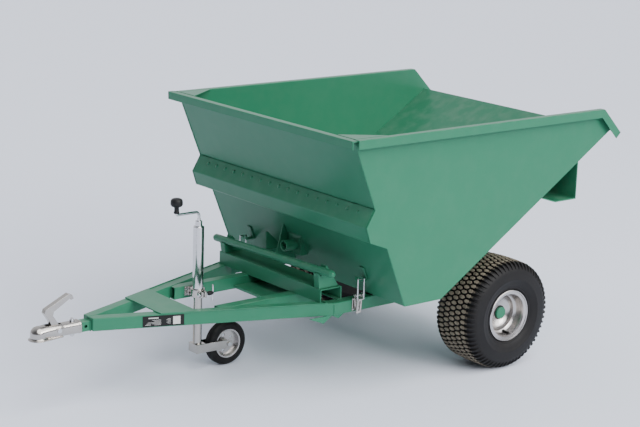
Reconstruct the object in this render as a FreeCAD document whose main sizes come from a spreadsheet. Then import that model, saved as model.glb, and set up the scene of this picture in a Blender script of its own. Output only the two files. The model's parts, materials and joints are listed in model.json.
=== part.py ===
import FreeCAD
import Part
import Sketcher
import math
import os

# A two-wheeled tipping hopper trailer for a garden tractor.
# Millimetres. X runs forward to the coupling, Y to the left, Z up; the ground is z = 0.
# Places along the trailer are counted from the wheel axle, which stands at axle_x.

SHEET = "Sizes"
VECTOR = FreeCAD.Vector

DIMENSIONS = {
    # frame
    "axle_x": -706.5,
    "frame_top": 378,
    "member_wide": 50,
    "member_high": 55,
    "member_wall": 3,
    "frame_half": 404,
    "frame_rear": -360,
    "bend_at": 810,
    "nose_at": 1781,
    "nose_half": 38,
    "gusset_rear": 1368,
    "gusset_front": 1517,
    "gusset_thick": 5,
    "stringer_inner": 150,
    "stringer_rear": 755,
    "stringer_front": 1257,
    "channel_front": 863,
    "channel_rear": 747,
    "channel_top": 438,
    "channel_half": 374,
    "channel_lip": 23,
    "channel_thick": 5,
    "shelf_front": 940,
    "shelf_top": 341,
    "shelf_thick": 12,
    "corner_thick": 6,
    "corner_y": 390,
    "plate_near": 1588,
    "plate_far": 1424,
    "plate_high": 46,
    "plate_thick": 1.2,
    # running gear
    "axle_bar": 40,
    "axle_bar_half": 400,
    "wheel_radius": 250,
    "wheel_y": 540,
    "spindle_radius": 15,
    "spindle_end": 590,
    "running_gap": 0.05,
    "hanger_thick": 8,
    "hanger_top_half": 70,
    "hanger_foot_half": 30,
    "tyre_half": 125,
    "tread_half": 108,
    "bead_radius": 103.5,
    "seat_radius": 102,
    "flange_radius": 118,
    "flange_y": 108,
    "drop_radius": 86,
    "rim_sheet": 3.5,
    "hub_outer": 33,
    "hub_inner": 26,
    "hub_outside": 50,
    "hub_inside": 70,
    "bearing_wide": 15,
    "cap_radius": 27.5,
    "cap_out": 64,
    "cap_wall": 4,
    "valve_radius": 5.5,
    "valve_at": 88.8,
    "valve_start": 65,
    "valve_end": 96,
    # hopper
    "sheet": 4,
    "hopper_half": 635,
    "floor_z": 390,
    "floor_front": 613,
    "floor_rear": 408,
    "lip_x": -600,
    "lip_z": 1034,
    "rim_top": 1142,
    "front_top": 927,
    "rim_front": 960,
    "rim_rear": -528,
    "rear_low_x": -642,
    "rear_low_z": 1027,
    "rim_wide": 30,
    "rim_deep": 38,
    "rim_front_deep": 35,
    "corner_long": 174,
    "corner_wide": 118,
    "stiff_low_x": 731,
    "stiff_low_z": 661.5,
    "stiff_toe_x": 820,
    "stiff_toe_z": 696,
    "stiff_nose_x": 843,
    "stiff_nose_z": 762,
    "stiff_top_x": 803,
    "stiff_top_z": 836,
    "stiff_half": 630,
    "pad_rear": 530,
    "pad_front": 600,
    "pad_gap": 0.4,
    "rear_wall_x": -407,
    "rear_wall_top": 905,
    "rear_flange_z": 734,
    "rear_flange_x": -273,
    "rear_lip_x": -187,
    "rear_lip_z": 761,
    "pivot_at": 20,
    "pivot_z": 432,
    "pivot_radius": 10,
    "pivot_y": 290,
    "leg_thick": 10,
    "leg_gap": 1,
    "lug_thick": 8,
    "lug_half": 30,
    "lug_eye": 23,
    "pin_head": 15,
    "pin_head_thick": 6,
    # lever socket and its stays on the front of the hopper
    "socket_y": -38,
    "socket_z": 522,
    "socket_bore": 19,
    "socket_radius": 25,
    "socket_back": 690,
    "socket_front": 752,
    "socket_pad": 45,
    "stay_thick": 8,
    # tipping lever bar and its saddles
    "bar_x": 850,
    "bar_y": 4,
    "bar_z": 504,
    "bar_radius": 17,
    "bar_wall": 3,
    "bar_half": 440,
    "bar_rise_deg": 1.96,
    "saddle_y": 345,
    "saddle_wide": 36,
    # toggle latches
    "latch_x": 688,
    "latch_pin_y": 417,
    "latch_pin_z": 399,
    "bail_y": 431,
    "bail_low_z": 384,
    "bail_top_z": 474,
    "bail_half": 17,
    "bail_rod": 3,
    "keeper_out": 425,
    "keeper_in": 396,
    # coupling head
    "stub_z": 344,
    "stub_side": 42,
    "stub_wall": 4,
    "stub_end": 1888,
    "stub_hole_at": 1803,
    "stub_hole": 6.5,
    "sleeve_side": 50,
    "sleeve_back": 1824,
    "sleeve_front": 1895,
    "ball_x": 2011,
    "ball_z": 345,
    "ball_seat": 25.3,
    "dome_radius": 42,
    "dome_top": 374,
    "cheek_half": 29,
    "slot_half": 14,
    "handle_pin_x": 1930,
    "handle_pin_z": 350,
    "handle_pin": 6,
    "handle_half": 13,
    "handle_sheet": 3,
    "coupling_bolt_x": 1857,
    "coupling_bolt": 6,
    # jockey wheel
    "jockey_x": 1166,
    "jockey_y": -105,
    "tube_radius": 24,
    "tube_wall": 2,
    "tube_bottom": 335,
    "tube_top": 655,
    "collar_radius": 15,
    "collar_top": 678,
    "spindle_rod": 8,
    "rod_bottom": 332,
    "arm_z": 718,
    "arm_rod": 6,
    "arm_long": 116,
    "arm_bend": 18,
    "knob_low": 725,
    "knob_neck": 754,
    "knob_top": 793,
    "knob_radius": 27,
    "stem_radius": 13,
    "nut_low": 420,
    "nut_high": 445,
    "nut_radius": 21.5,
    "leg_radius": 19.5,
    "leg_wall": 2.5,
    "leg_foot": 92,
    "leg_top": 419,
    "jockey_wheel_x": 1015,
    "jockey_wheel_z": 100,
    "jockey_radius": 100,
    "jockey_rim": 66,
    "jockey_half": 25,
    "fork_gap": 28,
    "fork_sheet": 4,
    "fork_high": 40,
    "jockey_bolt": 6,
    "clamp_low": 338,
    "clamp_high": 374,
    "clamp_radius": 32,
    "clamp_base_thick": 6,
    "clamp_base_half": 42,
    "screw_radius": 5,
    "screw_y": -66,
}


def as_size(item):
    """A Size for a plain number; a Size comes back as it is."""
    if isinstance(item, Size):
        return item
    return Size(float(item), f"({float(item)})")


class Size:
    """A number together with the expression on the sheet that gives it."""

    def __init__(self, value, text):
        self.value = value
        self.text = text

    def __add__(self, other):
        other = as_size(other)
        return Size(self.value + other.value, f"({self.text} + {other.text})")

    def __radd__(self, other):
        return as_size(other) + self

    def __sub__(self, other):
        other = as_size(other)
        return Size(self.value - other.value, f"({self.text} - {other.text})")

    def __rsub__(self, other):
        return as_size(other) - self

    def __mul__(self, other):
        other = as_size(other)
        return Size(self.value * other.value, f"({self.text} * {other.text})")

    def __rmul__(self, other):
        return as_size(other) * self

    def __truediv__(self, other):
        other = as_size(other)
        return Size(self.value / other.value, f"({self.text} / {other.text})")

    def __neg__(self):
        return 0 - self


def root(size):
    """The square root of a Size."""
    return Size(math.sqrt(size.value), f"sqrt({size.text})")


class Sheet:
    """The spreadsheet with the driving dimensions, read as Sizes by name."""

    def __init__(self, document, dimensions):
        self.dimensions = dimensions
        cells = document.addObject("Spreadsheet::Sheet", SHEET)
        for row, (name, value) in enumerate(dimensions.items(), start=1):
            cells.set(f"A{row}", name)
            cells.set(f"B{row}", str(value))
            cells.setAlias(f"B{row}", name)

    def __getattr__(self, name):
        return Size(float(self.dimensions[name]), f"{SHEET}.{name}")


DOC = FreeCAD.newDocument("TippingTrailer")
D = Sheet(DOC, DIMENSIONS)
DOC.recompute()
NODES = {}


def ahead(distance):
    """A place along the trailer, counted forward from the wheel axle."""
    return D.axle_x + distance


def bind(target, path, size):
    """Tie one property of an object to the sheet."""
    target.setExpression(path, as_size(size).text)


def move(target, place):
    """Set and tie an object's position."""
    sizes = [as_size(item) for item in place]
    target.Placement.Base = VECTOR(*[size.value for size in sizes])
    for letter, size in zip("xyz", sizes):
        bind(target, f".Placement.Base.{letter}", size)


def fix_point(sketch, index, position, point):
    """Tie a sketch point to the sheet by its two coordinates."""
    for kind, size in zip(("DistanceX", "DistanceY"), point):
        size = as_size(size)
        rule = Sketcher.Constraint(kind, -1, 1, index, position, size.value)
        number = sketch.addConstraint(rule)
        bind(sketch, f"Constraints[{number}]", size)


def draw_line(sketch, start, end):
    """Add a straight line between two pairs of numbers."""
    return sketch.addGeometry(Part.LineSegment(VECTOR(*start, 0), VECTOR(*end, 0)))


def polygon(points):
    """A closed outline through the points."""

    def draw(sketch):
        plain = [tuple(as_size(item).value for item in point) for point in points]
        count = len(points)
        lines = [draw_line(sketch, plain[i], plain[(i + 1) % count]) for i in range(count)]
        for i in range(count):
            sketch.addConstraint(Sketcher.Constraint("Coincident", lines[i], 2, lines[(i + 1) % count], 1))
            fix_point(sketch, lines[i], 1, points[i])

    return draw


def circle(centre, radius):
    """A full circle."""

    def draw(sketch):
        middle = VECTOR(as_size(centre[0]).value, as_size(centre[1]).value, 0)
        index = sketch.addGeometry(Part.Circle(middle, VECTOR(0, 0, 1), as_size(radius).value))
        fix_point(sketch, index, 3, centre)
        number = sketch.addConstraint(Sketcher.Constraint("Radius", index, as_size(radius).value))
        bind(sketch, f"Constraints[{number}]", radius)

    return draw


def rectangle(low, high):
    """An upright rectangle between two corners."""
    return polygon([low, (high[0], low[1]), high, (low[0], high[1])])


def square(centre, side):
    """A square about its centre."""
    half = side / 2
    low = (centre[0] - half, centre[1] - half)
    high = (centre[0] + half, centre[1] + half)
    return rectangle(low, high)


def left_of(start, end, distance):
    """The shift that moves a line to its left by a distance."""
    run = end[0] - start[0]
    rise = end[1] - start[1]
    length = math.hypot(run, rise)
    return (-rise / length * distance, run / length * distance)


def folded(points, thick):
    """The section of a sheet folded along the points, with its thickness on their left."""

    def draw(sketch):
        plain = [tuple(as_size(item).value for item in point) for point in points]
        depth = as_size(thick).value
        shifts = [left_of(a, b, depth) for a, b in zip(plain, plain[1:])]
        inner = []
        for i, point in enumerate(plain):
            before = shifts[max(i - 1, 0)]
            after = shifts[min(i, len(shifts) - 1)]
            scale = depth**2 / (depth**2 + before[0] * after[0] + before[1] * after[1]) * 1.0
            inner.append(
                (point[0] + (before[0] + after[0]) * scale, point[1] + (before[1] + after[1]) * scale)
            )
        outer_lines = [draw_line(sketch, a, b) for a, b in zip(plain, plain[1:])]
        far_cap = draw_line(sketch, plain[-1], inner[-1])
        back = inner[::-1]
        inner_lines = [draw_line(sketch, a, b) for a, b in zip(back, back[1:])]
        near_cap = draw_line(sketch, inner[0], plain[0])
        ring = [*outer_lines, far_cap, *inner_lines, near_cap]
        for line, following in zip(ring, ring[1:] + ring[:1]):
            sketch.addConstraint(Sketcher.Constraint("Coincident", line, 2, following, 1))
        for line, point in zip(outer_lines, points):
            fix_point(sketch, line, 1, point)
        fix_point(sketch, outer_lines[-1], 2, points[-1])
        for outer, facing in zip(outer_lines, inner_lines[::-1]):
            sketch.addConstraint(Sketcher.Constraint("Parallel", outer, facing))
            number = sketch.addConstraint(Sketcher.Constraint("Distance", facing, 1, outer, depth))
            bind(sketch, f"Constraints[{number}]", thick)
        sketch.addConstraint(Sketcher.Constraint("Perpendicular", far_cap, outer_lines[-1]))
        sketch.addConstraint(Sketcher.Constraint("Perpendicular", near_cap, outer_lines[0]))

    return draw


class Piece:
    """One solid made of sketched features in a body of its own."""

    def __init__(self, name, place=(0, 0, 0)):
        self.body = DOC.addObject("PartDesign::Body", name)
        self.body.Label = name
        move(self.body, place)
        self.made = 0

    def origin(self, role):
        """One of the body's own origin planes or axes."""
        return next(item for item in self.body.Origin.OriginFeatures if item.Role == role)

    def sketch(self, plane, drawings, lift=0):
        """A sketch on an origin plane, lifted along the plane's normal."""
        self.made += 1
        sketch = self.body.newObject("Sketcher::SketchObject", f"{self.body.Name}_outline{self.made}")
        sketch.AttachmentSupport = [(self.origin(f"{plane}_Plane"), "")]
        sketch.MapMode = "FlatFace"
        lift = as_size(lift)
        sketch.AttachmentOffset = FreeCAD.Placement(VECTOR(0, 0, lift.value), FreeCAD.Rotation())
        bind(sketch, ".AttachmentOffset.Base.z", lift)
        for drawing in drawings:
            drawing(sketch)
        return sketch

    def extrude(self, kind, plane, drawings, length, lift=0):
        """Pad or pocket a sketch by equal amounts to both sides."""
        sketch = self.sketch(plane, drawings, lift)
        feature = self.body.newObject(f"PartDesign::{kind}", f"{self.body.Name}_{kind.lower()}{self.made}")
        feature.Profile = sketch
        feature.SideType = "Symmetric"
        bind(feature, "Length", length)
        return feature

    def pad(self, plane, drawings, length, lift=0):
        """Add the outline's prism, centred on its plane."""
        return self.extrude("Pad", plane, drawings, length, lift)

    def pocket(self, plane, drawings, length, lift=0):
        """Cut the outline's prism, centred on its plane, and check that it cut something."""
        DOC.recompute()
        before = self.body.Shape.Volume
        feature = self.extrude("Pocket", plane, drawings, length, lift)
        DOC.recompute()
        if self.body.Shape.Volume >= before - 1e-6:
            raise RuntimeError(f"{feature.Name} cut nothing")
        return feature

    def turn(self, plane, drawings, kind="Revolution"):
        """Spin the outline about its own upright axis."""
        sketch = self.sketch(plane, drawings)
        feature = self.body.newObject(f"PartDesign::{kind}", f"{self.body.Name}_turned{self.made}")
        feature.Profile = sketch
        feature.ReferenceAxis = (sketch, ["V_Axis"])
        feature.Angle = 360
        return feature

    def repeat_round(self, feature, axis, count):
        """Repeat a feature evenly round one of the body's axes."""
        pattern = self.body.newObject("PartDesign::PolarPattern", f"{self.body.Name}_round")
        pattern.Originals = [feature]
        pattern.Axis = (self.origin(f"{axis}_Axis"), [""])
        pattern.Angle = 360
        pattern.Occurrences = count
        self.body.Tip = pattern

    def keep(self):
        """Count the body as a node of its own."""
        NODES[self.body.Label] = self.body


def prism(name, plane, drawings, length, middle=0):
    """A body that is one prism, centred at middle along the plane's normal."""
    place = {"XY": (0, 0, middle), "XZ": (0, middle, 0), "YZ": (middle, 0, 0)}[plane]
    piece = Piece(name, place)
    piece.pad(plane, drawings, length)
    return piece


def group(name, pieces):
    """One node made of several separate solids."""
    compound = DOC.addObject("Part::Compound", name)
    compound.Label = name
    compound.Links = [piece.body for piece in pieces]
    NODES[name] = compound


def outer_edge(x):
    """Half the width over the drawbar members at a place along the trailer."""
    slope = (D.frame_half - D.nose_half) / (D.nose_at - D.bend_at)
    return D.nose_half + slope * (D.nose_at - x)


def frame_middle():
    """The height of the frame tubes' centre line."""
    return D.frame_top - D.member_high / 2


def frame_bottom():
    """The height of the frame's underside."""
    return D.frame_top - D.member_high


def drawbar(name, side):
    """A tapering frame member from the bend to the nose, mitred on the centre plane."""
    slope = (D.frame_half - D.nose_half) / (D.nose_at - D.bend_at)
    stretch = root(1 + slope * slope)
    wide = D.member_wide * stretch
    wall = D.member_wall * stretch
    mitre_x = D.nose_at - (wide - D.nose_half) / slope
    outline = [
        (ahead(D.nose_at), as_size(0)),
        (ahead(D.nose_at), side * D.nose_half),
        (ahead(D.bend_at), side * D.frame_half),
        (ahead(D.bend_at), side * (D.frame_half - wide)),
        (ahead(mitre_x), as_size(0)),
    ]
    hollow_x = D.nose_at - D.member_wall
    inner_x = D.nose_at - (wide - wall + D.member_wall - D.nose_half) / slope
    hollow = [
        (ahead(hollow_x), side * D.member_wall),
        (ahead(hollow_x), side * (outer_edge(hollow_x) - wall)),
        (ahead(D.bend_at), side * (D.frame_half - wall)),
        (ahead(D.bend_at), side * (D.frame_half - wide + wall)),
        (ahead(inner_x), side * D.member_wall),
    ]
    piece = prism(name, "XY", [polygon(outline)], D.member_high, frame_middle())
    piece.pocket("XY", [polygon(hollow)], D.member_high - 2 * D.member_wall)
    piece.keep()


def rail(name, side):
    """A straight frame tube from the rear cross member to the bend."""
    rear = D.frame_rear + D.member_wide
    middle_y = side * (D.frame_half - D.member_wide / 2)
    half_wide = D.member_wide / 2
    half_high = D.member_high / 2
    inner_wide = half_wide - D.member_wall
    inner_high = half_high - D.member_wall
    centre = frame_middle()
    outer = rectangle((middle_y - half_wide, centre - half_high), (middle_y + half_wide, centre + half_high))
    inner = rectangle((middle_y - inner_wide, centre - inner_high), (middle_y + inner_wide, centre + inner_high))
    prism(name, "YZ", [outer, inner], D.bend_at - rear, ahead((D.bend_at + rear) / 2)).keep()


def stringer(name, side):
    """An inner frame tube, cut at its front to lie against the drawbar member."""
    outer_y = D.stringer_inner + D.member_wide
    slope = (D.frame_half - D.nose_half) / (D.nose_at - D.bend_at)
    wide = D.member_wide * root(1 + slope * slope)
    front_touch = D.nose_at - (outer_y + wide + 1 - D.nose_half) / slope
    front_y = outer_edge(D.stringer_front) - wide - 1
    outline = [
        (ahead(D.stringer_rear), side * D.stringer_inner),
        (ahead(D.stringer_front), side * D.stringer_inner),
        (ahead(D.stringer_front), side * front_y),
        (ahead(front_touch), side * outer_y),
        (ahead(D.stringer_rear), side * outer_y),
    ]
    hollow = [
        (ahead(D.stringer_rear), side * (D.stringer_inner + D.member_wall)),
        (ahead(D.stringer_front), side * (D.stringer_inner + D.member_wall)),
        (ahead(D.stringer_front), side * (front_y - D.member_wall)),
        (ahead(front_touch), side * (outer_y - D.member_wall)),
        (ahead(D.stringer_rear), side * (outer_y - D.member_wall)),
    ]
    piece = prism(name, "XY", [polygon(outline)], D.member_high, frame_middle())
    piece.pocket("XY", [polygon(hollow)], D.member_high - 2 * D.member_wall)
    piece.keep()


def cross_tube(name, middle_x, half_long):
    """A rectangular tube across the frame at its own height."""
    centre = (ahead(middle_x), frame_middle())
    half_wide = D.member_wide / 2
    half_high = D.member_high / 2
    outer = rectangle((centre[0] - half_wide, centre[1] - half_high), (centre[0] + half_wide, centre[1] + half_high))
    inner_wide = half_wide - D.member_wall
    inner_high = half_high - D.member_wall
    inner = rectangle(
        (centre[0] - inner_wide, centre[1] - inner_high), (centre[0] + inner_wide, centre[1] + inner_high)
    )
    prism(name, "XZ", [outer, inner], 2 * half_long).keep()


def gusset_plate():
    """The plate that ties the drawbar members together on top."""
    rear_half = outer_edge(D.gusset_rear)
    front_half = outer_edge(D.gusset_front)
    outline = [
        (ahead(D.gusset_rear), -rear_half),
        (ahead(D.gusset_front), -front_half),
        (ahead(D.gusset_front), front_half),
        (ahead(D.gusset_rear), rear_half),
    ]
    middle = D.frame_top + D.gusset_thick / 2
    return prism("gusset_plate", "XY", [polygon(outline)], D.gusset_thick, middle)


def cross_channel():
    """The inverted channel across the frame in front of the hopper, lipped at its rear foot."""
    section = [
        (ahead(D.channel_front), D.frame_top),
        (ahead(D.channel_front), D.channel_top),
        (ahead(D.channel_rear), D.channel_top),
        (ahead(D.channel_rear), D.frame_top),
        (ahead(D.channel_rear + D.channel_lip), D.frame_top),
    ]
    prism("cross_channel", "XZ", [folded(section, D.channel_thick)], 2 * D.channel_half).keep()


def front_cross_member():
    """A flat bar low down between the stringers, ahead of the channel."""
    low = (ahead(D.channel_rear), D.shelf_top - D.shelf_thick)
    high = (ahead(D.shelf_front), D.shelf_top)
    prism("front_cross_member", "XZ", [rectangle(low, high)], 2 * D.stringer_inner).keep()


def frame_gussets():
    """The plate across the drawbar and the toothed plate under each frame corner."""
    top = frame_bottom()
    outline = [
        (ahead(933), top),
        (ahead(857), top - 32),
        (ahead(812), top - 4),
        (ahead(775), top - 21),
        (ahead(741), top),
    ]
    pieces = [gusset_plate()]
    for side, word in ((1, "left"), (-1, "right")):
        pieces.append(
            prism(f"lower_gusset_{word}", "XZ", [polygon(outline)], D.corner_thick, side * D.corner_y)
        )
    group("frame_gussets", pieces)


def rest_pads():
    """The rubber pads on the rails that the lowered hopper rests on."""
    outline = [
        (ahead(D.pad_rear), D.frame_top),
        (ahead(D.pad_front), D.frame_top),
        (ahead(D.pad_front - 4), D.floor_z - D.pad_gap),
        (ahead(D.pad_rear + 4), D.floor_z - D.pad_gap),
    ]
    middle = D.frame_half - D.member_wide / 2
    pieces = []
    for side, word in ((1, "left"), (-1, "right")):
        name = f"rest_pad_{word}"
        pieces.append(prism(name, "XZ", [polygon(outline)], D.member_wide - 12, side * middle))
    group("rest_pads", pieces)


def axle():
    """The square axle bar with a turned spindle at each end."""
    piece = Piece("axle", (D.axle_x, 0, D.wheel_radius))
    piece.pad("XZ", [square((as_size(0), as_size(0)), D.axle_bar)], 2 * D.axle_bar_half)
    piece.pad("XZ", [circle((0, 0), D.spindle_radius)], 2 * D.spindle_end)
    piece.keep()


def axle_hangers():
    """Four tapered plates that carry the rails on the axle bar."""
    foot = D.wheel_radius + D.axle_bar / 2
    top = frame_bottom()
    outline = [
        (ahead(D.hanger_foot_half), foot),
        (ahead(D.hanger_top_half), top),
        (ahead(-D.hanger_top_half), top),
        (ahead(-D.hanger_foot_half), foot),
    ]
    half = D.hanger_thick / 2
    places = (D.frame_half - half, D.frame_half - D.member_wide + half)
    pieces = []
    for side in (1, -1):
        for place in places:
            name = f"axle_hanger_{len(pieces) + 1}"
            pieces.append(prism(name, "XZ", [polygon(outline)], D.hanger_thick, side * place))
    group("axle_hangers", pieces)


def pivot_lugs():
    """Two pairs of eyes on the pivot cross member that hold the tipping pins."""
    across = ahead(D.pivot_at)
    outline = [
        (across - D.lug_half, D.frame_top),
        (across + D.lug_half, D.frame_top),
        (across + D.lug_eye, D.pivot_z),
        (across + D.lug_eye * 0.7, D.pivot_z + D.lug_eye * 0.8),
        (across - D.lug_eye * 0.7, D.pivot_z + D.lug_eye * 0.8),
        (across - D.lug_eye, D.pivot_z),
    ]
    hole = circle((across, D.pivot_z), D.pivot_radius + D.running_gap)
    step = (D.leg_thick + D.lug_thick) / 2 + D.leg_gap
    pieces = []
    for side in (1, -1):
        for shift in (-step, step):
            name = f"pivot_lug_{len(pieces) + 1}"
            middle = side * D.pivot_y + shift
            pieces.append(prism(name, "XZ", [polygon(outline), hole], D.lug_thick, middle))
    group("pivot_lugs", pieces)


def coupling_stub():
    """The square tube at the nose that carries the coupling head, drilled across for a pin."""
    centre = (as_size(0), D.stub_z)
    outer = square(centre, D.stub_side)
    inner = square(centre, D.stub_side - 2 * D.stub_wall)
    piece = prism(
        "coupling_stub", "YZ", [outer, inner], D.stub_end - D.nose_at, ahead((D.stub_end + D.nose_at) / 2)
    )
    hole_x = D.stub_hole_at - (D.stub_end + D.nose_at) / 2
    piece.pocket("XZ", [circle((hole_x, D.stub_z), D.stub_hole)], 2 * D.stub_side)
    bolt_x = D.coupling_bolt_x - (D.stub_end + D.nose_at) / 2
    piece.pocket("XY", [circle((bolt_x, 0), D.coupling_bolt)], 4 * D.stub_side, D.stub_z)
    piece.keep()


def data_plate():
    """A blank plate on the left drawbar member's outer face."""
    slope = (D.frame_half - D.nose_half) / (D.nose_at - D.bend_at)
    middle = (D.plate_near + D.plate_far) / 2
    long = (D.plate_near - D.plate_far) * root(1 + slope * slope)
    piece = Piece("data_plate", (ahead(middle), outer_edge(middle), frame_middle()))
    piece.body.Placement.Rotation = FreeCAD.Rotation(VECTOR(0, 0, 1), -math.degrees(math.atan(slope.value)))
    outline = rectangle((-long / 2, -D.plate_high / 2), (long / 2, D.plate_high / 2))
    piece.pad("XZ", [outline], D.plate_thick, -D.plate_thick / 2)
    piece.keep()


def side_plate(name, side):
    """A side of the hopper with its rim folded outwards and down."""
    piece = Piece(name)
    sheet_y = side * (D.hopper_half - D.sheet / 2)
    outline = [
        (ahead(D.floor_front), D.floor_z),
        (ahead(725), as_size(659)),
        (ahead(D.stiff_toe_x), D.stiff_toe_z),
        (ahead(D.stiff_nose_x), D.stiff_nose_z),
        (ahead(799), as_size(836)),
        (ahead(D.front_top), D.rim_top),
        (ahead(D.rim_rear), D.rim_top),
        (ahead(D.rear_low_x), D.rear_low_z),
        (ahead(D.lip_x), D.lip_z),
        (ahead(D.floor_rear), D.floor_z),
    ]
    piece.pad("XZ", [polygon(outline)], D.sheet, -sheet_y)
    path = [
        (ahead(D.front_top), D.rim_top),
        (ahead(D.rim_rear), D.rim_top),
        (ahead(D.rear_low_x), D.rear_low_z),
    ]
    flange_y = side * (D.hopper_half + D.rim_wide / 2 - D.sheet / 2)
    piece.pad("XZ", [folded(path, D.sheet)], D.rim_wide + D.sheet, -flange_y)
    lip_y = side * (D.hopper_half + D.rim_wide - D.sheet / 2)
    piece.pad("XZ", [folded(path, D.rim_deep)], D.sheet, -lip_y)
    piece.keep()


def front_plate():
    """The sloping front of the hopper with its rim folded forwards and down."""
    under = D.rim_top - D.sheet
    lean = (D.front_top - D.floor_front) / (D.rim_top - D.floor_z)
    fold_x = D.floor_front + lean * (under - D.floor_z)
    inside_x = D.rim_front - D.sheet
    section = [
        (ahead(D.floor_front), D.floor_z),
        (ahead(fold_x), under),
        (ahead(inside_x), under),
        (ahead(inside_x), D.rim_top - D.rim_front_deep),
    ]
    piece = Piece("front_plate")
    piece.pad("XZ", [folded(section, D.sheet)], 2 * (D.hopper_half - D.sheet))
    corner = [(ahead(D.front_top + 3), under), *section[2:]]
    piece.pad("XZ", [folded(corner, D.sheet)], 2 * (D.hopper_half + D.rim_wide))
    piece.keep()


def chute_plate():
    """The hopper's floor and sloping rear chute, one bent sheet."""
    section = [
        (ahead(D.lip_x), D.lip_z),
        (ahead(D.floor_rear), D.floor_z),
        (ahead(D.floor_front - 5), D.floor_z),
    ]
    prism("chute_plate", "XZ", [folded(section, D.sheet)], 2 * (D.hopper_half - D.sheet)).keep()


def front_stiffener():
    """The folded channel across the front of the hopper."""
    section = [
        (ahead(D.stiff_low_x), D.stiff_low_z),
        (ahead(D.stiff_toe_x), D.stiff_toe_z),
        (ahead(D.stiff_nose_x), D.stiff_nose_z),
        (ahead(D.stiff_top_x), D.stiff_top_z),
    ]
    prism("front_stiffener", "XZ", [folded(section, D.sheet)], 2 * D.stiff_half).keep()


def rear_stiffener():
    """The folded channel across the underside of the chute."""
    section = [
        (ahead(D.rear_wall_x), D.rear_wall_top),
        (ahead(D.rear_wall_x), D.rear_flange_z),
        (ahead(D.rear_flange_x), D.rear_flange_z),
        (ahead(D.rear_lip_x), D.rear_lip_z),
    ]
    prism("rear_stiffener", "XZ", [folded(section, D.sheet)], 2 * D.stiff_half).keep()


def corner_gussets():
    """Flat triangles that brace the rim at the two front corners."""
    front_x = D.front_top - 8
    pieces = []
    for side, word in ((1, "left"), (-1, "right")):
        edge = D.hopper_half - D.sheet
        outline = [
            (ahead(front_x), side * edge),
            (ahead(front_x - D.corner_long), side * edge),
            (ahead(front_x), side * (edge - D.corner_wide)),
        ]
        middle = D.rim_top - D.sheet / 2
        pieces.append(prism(f"corner_gusset_{word}", "XY", [polygon(outline)], D.sheet, middle))
    group("corner_gussets", pieces)


def front_face(height):
    """How far forward the front plate's outer face is at a height."""
    lean = (D.front_top - D.floor_front) / (D.rim_top - D.floor_z)
    return D.floor_front + lean * (height - D.floor_z)


def lever_socket():
    """A short tube on a wedge on the front plate, which takes the tipping lever bar."""
    low = D.socket_z - D.socket_pad
    high = D.socket_z + D.socket_pad
    wedge = [
        (ahead(front_face(low) + 0.5), low),
        (ahead(D.socket_back), low),
        (ahead(D.socket_back), high),
        (ahead(front_face(high) + 0.5), high),
    ]
    piece = Piece("lever_socket", (0, D.socket_y, 0))
    piece.pad("XZ", [polygon(wedge)], 2 * D.socket_pad)
    middle = ahead((D.socket_back + D.socket_front) / 2)
    centre = (as_size(0), D.socket_z)
    tube = [circle(centre, D.socket_radius), circle(centre, D.socket_bore)]
    piece.pad("YZ", tube, D.socket_front - D.socket_back + 0.4, middle - 0.2)
    piece.keep()


def socket_stays():
    """The tall fin and the smaller bracket beside the lever socket."""
    fin = [
        (ahead(front_face(435) + 0.5), as_size(435)),
        (ahead(750), as_size(447)),
        (ahead(front_face(604) + 6), as_size(604)),
        (ahead(front_face(600) + 0.5), as_size(600)),
    ]
    bracket = [
        (ahead(front_face(468) + 0.5), as_size(468)),
        (ahead(742), as_size(474)),
        (ahead(748), as_size(556)),
        (ahead(740), as_size(556)),
        (ahead(front_face(492) + 14), as_size(492)),
        (ahead(front_face(490) + 0.5), as_size(490)),
    ]
    pieces = [
        prism("tall_fin", "XZ", [polygon(fin)], D.stay_thick, as_size(-103)),
        prism("small_bracket", "XZ", [polygon(bracket)], D.stay_thick, as_size(-176)),
    ]
    group("socket_stays", pieces)


def latch_keepers():
    """The bent brackets on the front plate that the latch bails reach up to."""
    outline = [
        (ahead(front_face(460) + 0.5), as_size(460)),
        (ahead(front_face(460) + 54), as_size(460)),
        (ahead(front_face(460) + 54), as_size(480)),
        (ahead(front_face(460) + 48), as_size(480)),
        (ahead(front_face(460) + 48), as_size(466)),
        (ahead(front_face(466) + 7), as_size(466)),
        (ahead(front_face(520) + 7), as_size(520)),
        (ahead(front_face(520) + 0.5), as_size(520)),
    ]
    middle = (D.keeper_in + D.keeper_out) / 2
    pieces = []
    for side, word in ((1, "left"), (-1, "right")):
        name = f"latch_keeper_{word}"
        pieces.append(prism(name, "XZ", [polygon(outline)], D.keeper_out - D.keeper_in, side * middle))
    group("latch_keepers", pieces)


def chute_face(x):
    """The height of the chute's underside at a place along the trailer."""
    fall = (D.lip_z - D.floor_z) / (D.floor_rear - D.lip_x)
    return D.floor_z + fall * (D.floor_rear - x)


def pivot_legs():
    """Two tapering plates under the chute that end in the pivot eyes."""
    rear = as_size(-120)
    front = as_size(130)
    eye = as_size(26)
    across = D.pivot_at
    outline = [
        (ahead(rear), chute_face(rear) - 0.6),
        (ahead(across - eye), D.pivot_z - 7),
        (ahead(across - 18), D.pivot_z - 24),
        (ahead(across + 18), D.pivot_z - 24),
        (ahead(across + eye), D.pivot_z - 7),
        (ahead(front), chute_face(front) - 0.6),
    ]
    hole = circle((ahead(across), D.pivot_z), D.pivot_radius)
    pieces = []
    for side, word in ((1, "left"), (-1, "right")):
        name = f"pivot_leg_{word}"
        pieces.append(prism(name, "XZ", [polygon(outline), hole], D.leg_thick, side * D.pivot_y))
    group("pivot_legs", pieces)


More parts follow.
